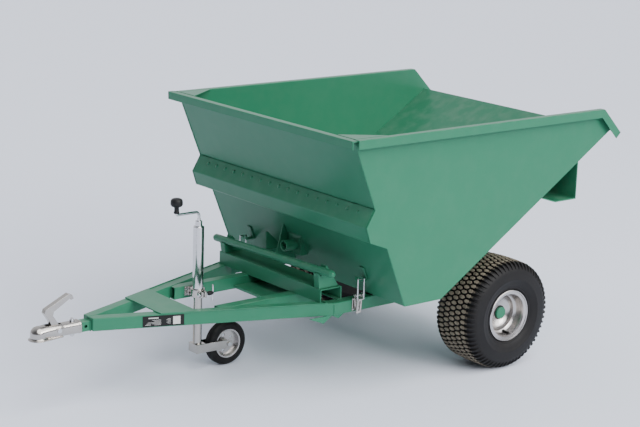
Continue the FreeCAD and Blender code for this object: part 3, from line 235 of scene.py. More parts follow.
def build_dust() -> bpy.types.NodeTree:
    """Dust that lies on what faces up, in patches.

    Returns:
        The group: Scale and Amount in, a mask out.
    """
    graph, entry, leave = new_group("settled_dust", {"Scale": 25.0, "Amount": 0.3}, {"Mask": "NodeSocketFloat"})
    place = graph.add("ShaderNodeTexCoord").outputs["Object"]
    noise = graph.add("ShaderNodeTexNoise", {"Vector": place, "Scale": entry.outputs["Scale"], "Detail": 5.0})
    patches = graph.mapped(noise.outputs[0], 0.42, 0.7, 0.0, 1.0)
    facing = graph.add("ShaderNodeSeparateXYZ", {0: graph.add("ShaderNodeNewGeometry").outputs["Normal"]})
    upward = graph.mapped(facing.outputs["Z"], 0.2, 0.95, 0.15, 1.0)
    mask = graph.times(graph.times(patches, upward), entry.outputs["Amount"])
    graph.link(mask, leave.inputs["Mask"])
    return graph.tree


def build_streaks() -> bpy.types.NodeTree:
    """Mottling and fine drawn streaks of plated steel.

    Returns:
        The group: Scale in, a height and a roughness shift out.
    """
    outputs = {"Height": "NodeSocketFloat", "Shift": "NodeSocketFloat"}
    graph, entry, leave = new_group("plating_streaks", {"Scale": 40.0}, outputs)
    place = graph.add("ShaderNodeTexCoord").outputs["Object"]
    turned = graph.add("ShaderNodeMapping", {"Vector": place, "Scale": (9.0, 9.0, 1.0)}).outputs[0]
    drawn = graph.add("ShaderNodeTexNoise", {"Vector": turned, "Scale": entry.outputs["Scale"], "Detail": 4.0})
    dense = graph.times(entry.outputs["Scale"], 5.0)
    spots = graph.add("ShaderNodeTexVoronoi", {"Vector": place, "Scale": dense})
    shift = graph.math("SUBTRACT", graph.math("ADD", drawn.outputs[0], spots.outputs["Distance"]), 0.8)
    graph.link(drawn.outputs[0], leave.inputs["Height"])
    graph.link(graph.times(shift, 0.10), leave.inputs["Shift"])
    return graph.tree


# ---------------------------------------------------------------- finishes


@dataclass(frozen=True)
class Finish:
    """What every finish shares: a colour, a roughness and how its shader starts.

    Attributes:
        name: the material's name.
        colour: its base colour.
        roughness: its middle roughness.
    """

    name: str
    colour: Colour
    roughness: float

    def start(self) -> tuple[Graph, bpy.types.Node]:
        """Makes the material with a bare shader.

        Returns:
            Its graph and its shader node.
        """
        material = bpy.data.materials.new(self.name)
        material.use_nodes = True
        material.diffuse_color = (*self.colour, 1.0)
        graph = Graph(material.node_tree)
        shader = material.node_tree.nodes["Principled BSDF"]
        shader.inputs["Base Color"].default_value = (*self.colour, 1.0)
        shader.inputs["Roughness"].default_value = self.roughness
        return graph, shader

    def toned(self, graph: Graph, effects: Effects, scale: float, amount: float) -> bpy.types.NodeSocket:
        """The base colour with a slow change of tone.

        Args:
            graph: the material's graph.
            effects: the shared groups.
            scale: how fine the change is.
            amount: how strong it is.

        Returns:
            The colour's socket.
        """
        drift = graph.add("ShaderNodeGroup", {"Scale": scale, "Amount": amount}, node_tree=effects.drift)
        inputs = {"Color": (*self.colour, 1.0), "Value": drift.outputs["Tone"]}
        return graph.add("ShaderNodeHueSaturation", inputs).outputs[0]

    def bump(self, graph: Graph, shader: bpy.types.Node, height: bpy.types.NodeSocket, depth: float) -> None:
        """Bumps the surface by a height.

        Args:
            graph: the material's graph.
            shader: its shader node.
            height: the height's socket.
            depth: the bump's depth in metres.
        """
        bump = graph.add("ShaderNodeBump", {"Height": height, "Distance": depth, "Strength": 1.0})
        graph.link(bump.outputs[0], shader.inputs["Normal"])


@dataclass(frozen=True)
class Enamel(Finish):
    """Sprayed gloss paint with orange peel and a trace of dust.

    Attributes:
        coat: the clear gloss over the colour.
        metallic: the share of metal flake.
        wave: how far the sheet under it is out of flat, in metres.
        dust_colour: the colour of the dust that lies on it.
    """

    coat: float = 0.03
    metallic: float = 0.0
    wave: float = 0.0004
    dust_colour: Colour = (0.42, 0.43, 0.38)

    def material(self, effects: Effects) -> bpy.types.Material:
        """Builds the material.

        Args:
            effects: the shared groups.

        Returns:
            The material.
        """
        graph, shader = self.start()
        shader.inputs["Coat Weight"].default_value = self.coat
        shader.inputs["Specular IOR Level"].default_value = 0.22
        shader.inputs["Coat Roughness"].default_value = 0.12
        shader.inputs["Metallic"].default_value = self.metallic
        colour = self.toned(graph, effects, 2.3, 0.16)
        dust = graph.add("ShaderNodeGroup", {"Scale": 18.0, "Amount": 0.10}, node_tree=effects.dust)
        mask = dust.outputs["Mask"]
        dusty = graph.blended(mask, colour, (*self.dust_colour, 1.0))
        graph.link(dusty, shader.inputs["Base Color"])
        rough = graph.mapped(mask, 0.0, 0.2, self.roughness, self.roughness + 0.14)
        graph.link(rough, shader.inputs["Roughness"])
        inputs = {"Fine": 420.0, "Broad": 5.0, "Share": 0.9}
        grain = graph.add("ShaderNodeGroup", inputs, node_tree=effects.grain)
        self.bump(graph, shader, grain.outputs["Height"], self.wave)
        return graph_material(graph)


@dataclass(frozen=True)
class Plating(Finish):
    """Bright or dull plated steel.

    Attributes:
        scale: how fine its mottling is.
        depth: the depth of its streaks, in metres.
    """

    scale: float = 40.0
    depth: float = 0.00004

    def material(self, effects: Effects) -> bpy.types.Material:
        """Builds the material.

        Args:
            effects: the shared groups.

        Returns:
            The material.
        """
        graph, shader = self.start()
        shader.inputs["Metallic"].default_value = 1.0
        colour = self.toned(graph, effects, 24.0, 0.30)
        graph.link(colour, shader.inputs["Base Color"])
        streaks = graph.add("ShaderNodeGroup", {"Scale": self.scale}, node_tree=effects.streaks)
        rough = graph.math("ADD", streaks.outputs["Shift"], self.roughness)
        graph.link(rough, shader.inputs["Roughness"])
        self.bump(graph, shader, streaks.outputs["Height"], self.depth)
        return graph_material(graph)


@dataclass(frozen=True)
class Rubber(Finish):
    """Moulded rubber or plastic, with dust where it settles or where it has rolled.

    Attributes:
        dust: how much dust lies on it.
        dust_colour: the dust's colour.
        centre: the wheel's centre, when dust gathers on the tread.
        tread: the radii where the rolled dust starts and is full, or none.
        depth: the depth of its grain, in metres.
    """

    dust: float = 0.2
    dust_colour: Colour = (0.16, 0.15, 0.14)
    centre: Point = (0.0, 0.0, 0.0)
    tread: tuple[float, float] | None = None
    depth: float = 0.0002

    def material(self, effects: Effects) -> bpy.types.Material:
        """Builds the material.

        Args:
            effects: the shared groups.

        Returns:
            The material.
        """
        graph, shader = self.start()
        shader.inputs["Specular IOR Level"].default_value = 0.2
        colour = self.toned(graph, effects, 9.0, 0.3)
        dust = graph.add("ShaderNodeGroup", {"Scale": 30.0, "Amount": self.dust}, node_tree=effects.dust)
        mask = dust.outputs["Mask"]
        if self.tread:
            mask = graph.math("MAXIMUM", mask, self.rolled(graph))
        dusty = graph.blended(mask, colour, (*self.dust_colour, 1.0))
        graph.link(dusty, shader.inputs["Base Color"])
        rough = graph.mapped(mask, 0.0, 1.0, self.roughness, 0.92)
        graph.link(rough, shader.inputs["Roughness"])
        inputs = {"Fine": 700.0, "Broad": 60.0, "Share": 0.3}
        grain = graph.add("ShaderNodeGroup", inputs, node_tree=effects.grain)
        self.bump(graph, shader, grain.outputs["Height"], self.depth)
        return graph_material(graph)

    def rolled(self, graph: Graph) -> bpy.types.NodeSocket:
        """The mask of dust picked up by the tread's tops.

        Args:
            graph: the material's graph.

        Returns:
            The mask's socket.
        """
        place = graph.add("ShaderNodeTexCoord").outputs["Object"]
        back = tuple(-value for value in self.centre)
        local = graph.add("ShaderNodeMapping", {"Vector": place, "Location": back}).outputs[0]
        inputs = {0: local, 1: (1.0, 0.0, 1.0)}
        flat = graph.add("ShaderNodeVectorMath", inputs, operation="MULTIPLY").outputs[0]
        reach = graph.add("ShaderNodeVectorMath", {0: flat}, operation="LENGTH").outputs["Value"]
        tops = graph.mapped(reach, self.tread[0], self.tread[1], 0.0, 1.0)
        noise = graph.add("ShaderNodeTexNoise", {"Vector": place, "Scale": 55.0, "Detail": 4.0})
        return graph.times(tops, graph.mapped(noise.outputs[0], 0.25, 0.6, 0.45, 1.0))


def graph_material(graph: Graph) -> bpy.types.Material:
    """The material whose node tree a graph builds."""
    return next(item for item in bpy.data.materials if item.node_tree == graph.tree)


class Palette:
    """Every finish of the trailer, made once."""

    def __init__(self) -> None:
        """Builds the shared groups and the materials."""
        effects = Effects(build_drift(), build_grain(), build_dust(), build_streaks())
        green = (0.024, 0.168, 0.090)
        silver = (0.50, 0.48, 0.47)
        zinc = (0.44, 0.42, 0.395)
        steel = (0.60, 0.60, 0.61)
        grease = (0.10, 0.095, 0.09)
        black = (0.006, 0.006, 0.006)
        charcoal = (0.014, 0.014, 0.015)
        ink = (0.012, 0.012, 0.012)
        chalk = (0.60, 0.60, 0.58)
        self.frame = Enamel("green_frame_enamel", green, 0.30, wave=0.0003).material(effects)
        self.hopper = Enamel("green_sheet_enamel", green, 0.28, wave=0.0011).material(effects)
        self.silver = Enamel("silver_rim_enamel", silver, 0.26, metallic=1.0, wave=0.0003).material(effects)
        self.zinc = Plating("bright_zinc_plate", zinc, 0.18, 30.0, 0.00001).material(effects)
        self.bright = Plating("polished_steel", steel, 0.10, 40.0, 0.000005).material(effects)
        self.dark = Plating("greased_steel", grease, 0.45).material(effects)
        self.smooth_rubber = Rubber("smooth_black_rubber", black, 0.5).material(effects)
        self.plastic = Rubber("black_grained_plastic", charcoal, 0.38, dust=0.08, depth=0.0001).material(effects)
        self.label = Rubber("black_label", ink, 0.35, dust=0.03, depth=0.00003).material(effects)
        self.marks = Rubber("pale_label_marks", chalk, 0.5, dust=0.05, depth=0.00003).material(effects)
        self.effects = effects

    def tread(self, name: str, centre: Vector, start: float, full: float) -> bpy.types.Material:
        """A tyre's rubber, with dust on the tread's tops.

        Args:
            name: the material's name.
            centre: the wheel's centre.
            start: the radius where dust starts.
            full: the radius where it is full.

        Returns:
            The material.
        """
        finish = Rubber(
            name,
            (0.009, 0.0085, 0.009),
            0.52,
            dust=0.05,
            dust_colour=(0.235, 0.20, 0.15),
            centre=tuple(centre),
            tread=(start, full),
        )
        return finish.material(self.effects)


# ---------------------------------------------------------------- mesh tools


def new_object(name: str, data: bpy.types.ID) -> bpy.types.Object:
    """Links a new object for a mesh, a light or a camera.

    Args:
        name: the object's name.
        data: what it shows.

    Returns:
        The new object.
    """
    made = bpy.data.objects.new(name, data)
    bpy.context.scene.collection.objects.link(made)
    return made


def mesh_of(work: bmesh.types.BMesh, name: str) -> bpy.types.Mesh:
    """Turns a bmesh into a mesh and frees it.

    Args:
        work: the bmesh.
        name: the mesh's name.

    Returns:
        The new mesh.
    """
    mesh = bpy.data.meshes.new(name)
    work.to_mesh(mesh)
    work.free()
    return mesh


def loft(work: bmesh.types.BMesh, rings: Sequence[list[bmesh.types.BMVert]]) -> None:
    """Skins rings of vertices and closes both ends.

    Args:
        work: the bmesh.
        rings: the rings in order, all with the same number of vertices.
    """
    count = len(rings[0])
    for low, top in zip(rings, rings[1:]):
        for k in range(count):
            work.faces.new([low[k], low[(k + 1) % count], top[(k + 1) % count], top[k]])
    work.faces.new(rings[0][::-1])
    work.faces.new(rings[-1])


def in_metres(points: Profile, sign: float = 1) -> Profile:
    """Turns (radius, along) points from millimetres into metres, mirrored along the axis by a sign of -1."""
    return [(radius * MM, sign * along * MM) for radius, along in points]


def both_ways(upper: Profile) -> Profile:
    """Adds to half a profile its mirror image, in reverse."""
    return upper + [(radius, -along) for radius, along in upper[::-1]]


def smooth(mesh: bpy.types.Mesh, angle: float = 32.0) -> None:
    """Shades a mesh smooth and keeps the edges sharper than an angle.

    Args:
        mesh: the mesh.
        angle: the sharpest edge that is still smoothed, in degrees.
    """
    mesh.polygons.foreach_set("use_smooth", [True] * len(mesh.polygons))
    mesh.set_sharp_from_angle(angle=math.radians(angle))


def baked(piece: bpy.types.Object) -> bpy.types.Object:
    """Turns a piece with modifiers into a plain mesh.

    Args:
        piece: the object.

    Returns:
        The same object.
    """
    seen = piece.evaluated_get(bpy.context.evaluated_depsgraph_get())
    mesh = bpy.data.meshes.new_from_object(seen)
    piece.modifiers.clear()
    piece.data = mesh
    return piece


def finished(
    piece: bpy.types.Object, material: bpy.types.Material, body: str, nodes: Sequence[str] = ()
) -> bpy.types.Object:
    """Gives a piece its finish, its body and the nodes it stands for.

    Args:
        piece: the object.
        material: its finish.
        body: the CAD body it rides on.
        nodes: the CAD nodes it stands for.

    Returns:
        The same object.
    """
    piece.data.materials.clear()
    piece.data.materials.append(material)
    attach(piece, body)
    if nodes:
        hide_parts(*nodes)
    LOG.info("%s: %d faces on %s", piece.name, len(piece.data.polygons), body)
    return piece


def body_of_node(node: str) -> str:
    """The name of the body that holds a CAD node."""
    bodies = frame["record"]["behaviour"]["bodies"]
    return next(name for name, members in bodies.items() if node in members)


def merged_copy(nodes: Sequence[str]) -> bmesh.types.BMesh:
    """The CAD meshes joined, with their doubles merged and their flat parts made whole.

    Args:
        nodes: the CAD nodes.

    Returns:
        A new bmesh.
    """
    work = bmesh.new()
    for node in nodes:
        work.from_mesh(frame["nodes"][node].data)
    bmesh.ops.remove_doubles(work, verts=work.verts, dist=0.00002)
    bmesh.ops.dissolve_limit(
        work, angle_limit=math.radians(0.6), verts=work.verts, edges=work.edges, use_dissolve_boundaries=False
    )
    return work


def face_width(face: bmesh.types.BMFace) -> float:
    """A face's area over its longest edge, a measure of how wide it is."""
    return face.calc_area() / max(edge.calc_length() for edge in face.edges)


@dataclass
class Softened:
    """A CAD node shown with eased edges: broad where sheet is folded, small where it is cut.

    Attributes:
        node: the CAD node.
        fold: the radius of a fold's outside, in metres.
        cut: the ease on a cut edge, in metres.
        wide: the least width of a face that counts as more than a cut edge, in metres.
        sharp: the least angle of an edge that is eased, in radians.
    """

    node: str
    fold: float = 3.0 * MM
    cut: float = 0.9 * MM
    wide: float = 9.0 * MM
    sharp: float = math.radians(22.0)

    def build(self) -> bpy.types.Object:
        """Makes the eased copy.

        Returns:
            The new object.
        """
        work = merged_copy([self.node])
        layer = work.edges.layers.float.new("bevel_weight_edge")
        for edge in work.edges:
            if len(edge.link_faces) != 2 or not edge.is_convex:
                continue
            if edge.calc_face_angle() < self.sharp:
                continue
            narrow = min(face_width(face) for face in edge.link_faces) < self.wide
            edge[layer] = self.cut / self.fold if narrow else 1.0
        mesh = mesh_of(work, f"{self.node}_eased")
        smooth(mesh)
        piece = new_object(f"eased_{self.node}", mesh)
        bevel = piece.modifiers.new("ease", "BEVEL")
        bevel.limit_method = "WEIGHT"
        bevel.width = self.fold
        bevel.segments = 3
        bevel.use_clamp_overlap = False
        bevel.harden_normals = True
        bevel.miter_outer = "MITER_ARC"
        return baked(piece)

    def dress(self, material: bpy.types.Material) -> bpy.types.Object:
        """Builds it and puts it in the node's place."""
        return finished(self.build(), material, body_of_node(self.node), [self.node])


@dataclass
class Moulded:
    """CAD nodes shown as one cast or pressed shape with rounded edges and filled corners.

    Attributes:
        name: the piece's name.
        nodes: the CAD nodes, all of one body.
        grid: the fineness of the shape, in metres.
        rounds: how often it is smoothed.
    """

    name: str
    nodes: list[str]
    grid: float = 1.2 * MM
    rounds: int = 6

    def build(self) -> bpy.types.Object:
        """Makes the rounded copy.

        Returns:
            The new object.
        """
        piece = new_object(self.name, mesh_of(merged_copy(self.nodes), self.name))
        grid = piece.modifiers.new("grid", "REMESH")
        grid.mode = "VOXEL"
        grid.voxel_size = self.grid
        grid.use_smooth_shade = True
        ease = piece.modifiers.new("ease", "SMOOTH")
        ease.factor = 0.6
        ease.iterations = self.rounds
        return baked(piece)

    def dress(self, material: bpy.types.Material) -> bpy.types.Object:
        """Builds it and puts it in the nodes' place."""
        node = self.nodes[0]
        return finished(self.build(), material, body_of_node(node), self.nodes)


def turned_point(radius: float, along: float, angle: float, axis: Axis) -> Vector:
    """A point of a turned shape.

    Args:
        radius: the distance from the axis.
        along: the distance along the axis.
        angle: the turn about the axis.
        axis: the axis.

    Returns:
        The point, before it is moved to the shape's centre.
    """
    one, two = radius * math.cos(angle), radius * math.sin(angle)
    if axis is Axis.X:
        return Vector((along, one, two))
    if axis is Axis.Y:
        return Vector((one, along, two))
    return Vector((one, two, along))


def turned(
    name: str, profile: Profile, centre: Vector, axis: Axis, steps: int = 64, ring: bool = True
) -> bpy.types.Object:
    """Spins a profile into a closed shape.

    Args:
        name: the object's name.
        profile: its (radius, along) points.
        centre: the point on the axis that along is counted from.
        axis: the axis.
        steps: the number of steps round.
        ring: True joins the profile's last point to its first; False expects both ends on the axis.

    Returns:
        The new object.
    """
    work = bmesh.new()
    rows = []
    for radius, along in profile:
        if radius < 1e-6:
            rows.append([work.verts.new(centre + turned_point(0.0, along, 0.0, axis))] * steps)
            continue
        turns = [2 * math.pi * k / steps for k in range(steps)]
        rows.append([work.verts.new(centre + turned_point(radius, along, turn, axis)) for turn in turns])
    for low, high in zip(rows, rows[1:] + ([rows[0]] if ring else [])):
        for k in range(steps):
            corners = [low[k], low[(k + 1) % steps], high[(k + 1) % steps], high[k]]
            unique = list(dict.fromkeys(corners))
            if len(unique) > 2:
                work.faces.new(unique)
    bmesh.ops.recalc_face_normals(work, faces=work.faces)
    mesh = mesh_of(work, name)
    smooth(mesh, 38.0)
    return new_object(name, mesh)


def slab(work: bmesh.types.BMesh, low: Vector, high: Vector, turn: Matrix) -> None:
    """Adds a box to a bmesh.

    Args:
        work: the bmesh.
        low: its lowest corner before it is turned.
        high: its highest corner before it is turned.
        turn: the turn and place given to it.
    """
    size = high - low
    middle = (high + low) / 2
    place = turn @ Matrix.Translation(middle) @ Matrix.Diagonal((*size, 1.0))
    bmesh.ops.create_cube(work, size=1.0, matrix=place)


def mesh_from(name: str, points: Sequence[Vector], edges: Sequence[tuple[int, int]] = ()) -> bpy.types.Object:
    """Makes an object of loose points and edges, for a tree to work on.

    Args:
        name: the object's name.
        points: its points.
        edges: pairs of point numbers.

    Returns:
        The new object.
    """
    mesh = bpy.data.meshes.new(name)
    mesh.from_pydata([tuple(point) for point in points], list(edges), [])
    return new_object(name, mesh)


# ---------------------------------------------------------------- geometry trees


class Tree:
    """A Geometry Nodes tree with named inputs."""

    def __init__(self, name: str) -> None:
        """Starts the tree with geometry in and out.

        Args:
            name: the tree's name.
        """
        self.group = bpy.data.node_groups.new(name, "GeometryNodeTree")
        self.graph = Graph(self.group)
        self.keys: dict[str, str] = {}
        for way in ("INPUT", "OUTPUT"):
            self.group.interface.new_socket("Geometry", in_out=way, socket_type="NodeSocketGeometry")
        self.sockets: dict[str, bpy.types.NodeSocket] = {}

    def inputs(self, kinds: dict[str, str]) -> None:
        """Names the tree's inputs.

        Args:
            kinds: input names and socket types.
        """
        for name, kind in kinds.items():
            socket = self.group.interface.new_socket(name, in_out="INPUT", socket_type=kind)
            self.keys[name] = socket.identifier
        entry = self.graph.add("NodeGroupInput")
        self.sockets = {socket.name: socket for socket in entry.outputs}

    def close(self, geometry: bpy.types.NodeSocket) -> None:
        """Realizes the result, gives it its material and ends the tree.

        Args:
            geometry: the result's socket.
        """
        real = self.graph.add("GeometryNodeRealizeInstances", {0: geometry}).outputs[0]
        inputs = {"Geometry": real, "Material": self.sockets["Finish"]}
        done = self.graph.add("GeometryNodeSetMaterial", inputs).outputs[0]
        self.graph.add("NodeGroupOutput", {0: done})

    def run(self, piece: bpy.types.Object, values: dict[str, object]) -> bpy.types.Object:
        """Runs the tree on an object and keeps the result as its mesh.

        Args:
            piece: the object it works on.
            values: input names and values.

        Returns:
            The same object.
        """
        modifier = piece.modifiers.new("tree", "NODES")
        modifier.node_group = self.group
        for name, value in values.items():
            modifier[self.keys[name]] = value
        return baked(piece)


def tread_tree() -> Tree:
    """Rows of blocks set round a wheel, every other column half a pitch on.

    Returns:
        The tree; it repeats the mesh it is given.
    """
    tree = Tree("tread_rows")
    tree.inputs(
        {
            "Around": "NodeSocketInt",
            "Columns": "NodeSocketInt",
            "Radius": "NodeSocketFloat",
            "Spacing": "NodeSocketFloat",
            "Crown": "NodeSocketFloat",
            "Centre": "NodeSocketVector",
            "Finish": "NodeSocketMaterial",
        }
    )
    graph, given = tree.graph, tree.sockets
    total = graph.times(given["Around"], given["Columns"])
    points = graph.add("GeometryNodePoints", {"Count": total}).outputs[0]
    index = graph.add("GeometryNodeInputIndex").outputs[0]
    column = graph.math("MODULO", index, given["Columns"])
    row = graph.math("FLOOR", graph.math("DIVIDE", graph.math("ADD", index, 0.5), given["Columns"]))
    shifted = graph.math("ADD", row, graph.times(graph.math("MODULO", column, 2.0), 0.5))
    angle = graph.math("DIVIDE", graph.times(shifted, 2 * math.pi), given["Around"])
    half = graph.math("DIVIDE", graph.math("SUBTRACT", given["Columns"], 1.0), 2.0)
    across = graph.times(graph.math("SUBTRACT", column, half), given["Spacing"])
    fall = graph.times(graph.times(across, across), given["Crown"])
    reach = graph.math("SUBTRACT", given["Radius"], fall)
    forward = graph.times(graph.math("COSINE", angle), reach)
    upward = graph.times(graph.math("SINE", angle), reach)
    local = graph.add("ShaderNodeCombineXYZ", {0: forward, 1: across, 2: upward}).outputs[0]
    place = graph.add("ShaderNodeVectorMath", {0: local, 1: given["Centre"]}, operation="ADD").outputs[0]
    set_out = graph.add("GeometryNodeSetPosition", {"Geometry": points, "Position": place}).outputs[0]
    turn = graph.add("ShaderNodeCombineXYZ", {1: graph.times(angle, -1.0)}).outputs[0]
    inputs = {"Points": set_out, "Instance": given["Geometry"], "Rotation": turn}
    tree.close(graph.add("GeometryNodeInstanceOnPoints", inputs).outputs[0])
    return tree


def bead_tree() -> Tree:
    """A rippled weld bead along edges.

    Returns:
        The tree.
    """
    tree = Tree("weld_bead")
    tree.inputs(
        {
            "Radius": "NodeSocketFloat",
            "Step": "NodeSocketFloat",
            "Ripple": "NodeSocketFloat",
            "Finish": "NodeSocketMaterial",
        }
    )
    graph, given = tree.graph, tree.sockets
    curve = graph.add("GeometryNodeMeshToCurve", {"Mesh": given["Geometry"]}).outputs[0]
    inputs = {"Curve": curve, "Length": given["Step"]}
    path = graph.add("GeometryNodeResampleCurve", inputs, mode="LENGTH").outputs[0]
    index = graph.add("GeometryNodeInputIndex").outputs[0]
    wave = graph.math("SINE", graph.times(index, 1.7))
    loose = graph.add("FunctionNodeRandomValue", {2: 0.85, 3: 1.15, "Seed": 7}, data_type="FLOAT").outputs[1]
    swell = graph.times(graph.math("ADD", graph.times(wave, given["Ripple"]), 1.0), loose)
    size = graph.times(swell, given["Radius"])
    ring = graph.add("GeometryNodeCurvePrimitiveCircle", {"Resolution": 7, "Radius": 1.0}).outputs[0]
    inputs = {"Curve": path, "Profile Curve": ring, "Scale": size, "Fill Caps": True}
    tube = graph.add("GeometryNodeCurveToMesh", inputs).outputs[0]
    tree.close(graph.add("GeometryNodeSetShadeSmooth", {0: tube}).outputs[0])
    return tree


def stud_tree() -> Tree:
    """A washer, a hexagon and a rounded end on every point.

    Returns:
        The tree.
    """
    tree = Tree("hexagon_fasteners")
    tree.inputs(
        {
            "Flats": "NodeSocketFloat",
            "Height": "NodeSocketFloat",
            "Facing": "NodeSocketVector",
            "Finish": "NodeSocketMaterial",
        }
    )
    graph, given = tree.graph, tree.sockets
    flats, height = given["Flats"], given["Height"]
    radius, depth = graph.times(flats, 0.66), graph.times(height, 0.24)
    inputs = {"Vertices": 24, "Radius": radius, "Depth": depth}
    meshes = [graph.add("GeometryNodeMeshCylinder", inputs).outputs[0]]
    for corners, foot, top, tall in ((6, 0.577, 0.55, 0.66), (16, 0.30, 0.24, 0.22)):
        inputs = {
            "Vertices": corners,
            "Radius Bottom": graph.times(flats, foot),
            "Radius Top": graph.times(flats, top),
            "Depth": graph.times(height, tall),
        }
        meshes.append(graph.add("GeometryNodeMeshCone", inputs).outputs[0])
    join = graph.add("GeometryNodeJoinGeometry")
    for mesh, lift in zip(meshes, (0.12, 0.2, 0.8)):
        rise = graph.add("ShaderNodeCombineXYZ", {2: graph.times(height, lift)}).outputs[0]
        moved = graph.add("GeometryNodeTransform", {"Geometry": mesh, "Translation": rise}).outputs[0]
        graph.link(moved, join.inputs[0])
    turn = graph.add("FunctionNodeAlignRotationToVector", {"Vector": given["Facing"]}, axis="Z").outputs[0]
    inputs = {"Points": given["Geometry"], "Instance": join.outputs[0], "Rotation": turn}
    tree.close(graph.add("GeometryNodeInstanceOnPoints", inputs).outputs[0])
    return tree


def dot_tree() -> Tree:
    """A flattened bead of weld on every point.

    Returns:
        The tree.
    """
    tree = Tree("weld_dots")
    tree.inputs({"Radius": "NodeSocketFloat", "Facing": "NodeSocketVector", "Finish": "NodeSocketMaterial"})
    graph, given = tree.graph, tree.sockets
    inputs = {"Radius": given["Radius"], "Subdivisions": 2}
    ball = graph.add("GeometryNodeMeshIcoSphere", inputs).outputs[0]
    flat = graph.add("GeometryNodeTransform", {"Geometry": ball, "Scale": (1.0, 1.0, 0.4)}).outputs[0]
    soft = graph.add("GeometryNodeSetShadeSmooth", {0: flat}).outputs[0]
    turn = graph.add("FunctionNodeAlignRotationToVector", {"Vector": given["Facing"]}, axis="Z").outputs[0]
    size = graph.add("FunctionNodeRandomValue", {2: 0.8, 3: 1.2, "Seed": 3}, data_type="FLOAT").outputs[1]
    inputs = {"Points": given["Geometry"], "Instance": soft, "Rotation": turn, "Scale": size}
    tree.close(graph.add("GeometryNodeInstanceOnPoints", inputs).outputs[0])
    return tree


class Workshop:
    """The finishes and the trees that every sub-assembly draws on."""

    def __init__(self) -> None:
        """Makes them all once."""
        self.paint = Palette()
        self.tread = tread_tree()
        self.bead = bead_tree()
        self.stud = stud_tree()
        self.dot = dot_tree()

    def weld(
        self, name: str, paths: Sequence[Sequence[Point]], body: str, material: bpy.types.Material, slot: str,
        radius: float = 2.6 * MM,
    ) -> bpy.types.Object:
        """Lays weld beads along paths.

        Args:
            name: the piece's name.
            paths: the corner points of each bead.
            body: the CAD body it rides on.
            material: its finish.
            slot: not used.
            radius: the bead's radius.

        Returns:
            The new object.
        """
        points, edges = [], []
        for path in paths:
            start = len(points)
            points.extend(Vector(point) for point in path)
            edges.extend((start + k, start + k + 1) for k in range(len(path) - 1))
        piece = mesh_from(name, points, edges)
        values = {"Radius": radius, "Step": 2.4 * MM, "Ripple": 0.22, "Finish": material}
        return finished(self.bead.run(piece, values), material, body)

    def studs(
        self, name: str, points: Sequence[Point], facing: Point, flats: float, body: str,
        material: bpy.types.Material, slot: str,
    ) -> bpy.types.Object:
        """Puts a hexagon fastener on each point.

        Args:
            name: the piece's name.
            points: the places, on the surface.
            facing: the direction they stand out in.
            flats: the width across flats.
            body: the CAD body they ride on.
            material: their finish.
            slot: not used.

        Returns:
            The new object.
        """
        piece = mesh_from(name, [Vector(point) for point in points])
        values = {"Flats": flats, "Height": 0.62 * flats, "Facing": facing, "Finish": material}
        return finished(self.stud.run(piece, values), material, body)


# ---------------------------------------------------------------- sub-assemblies


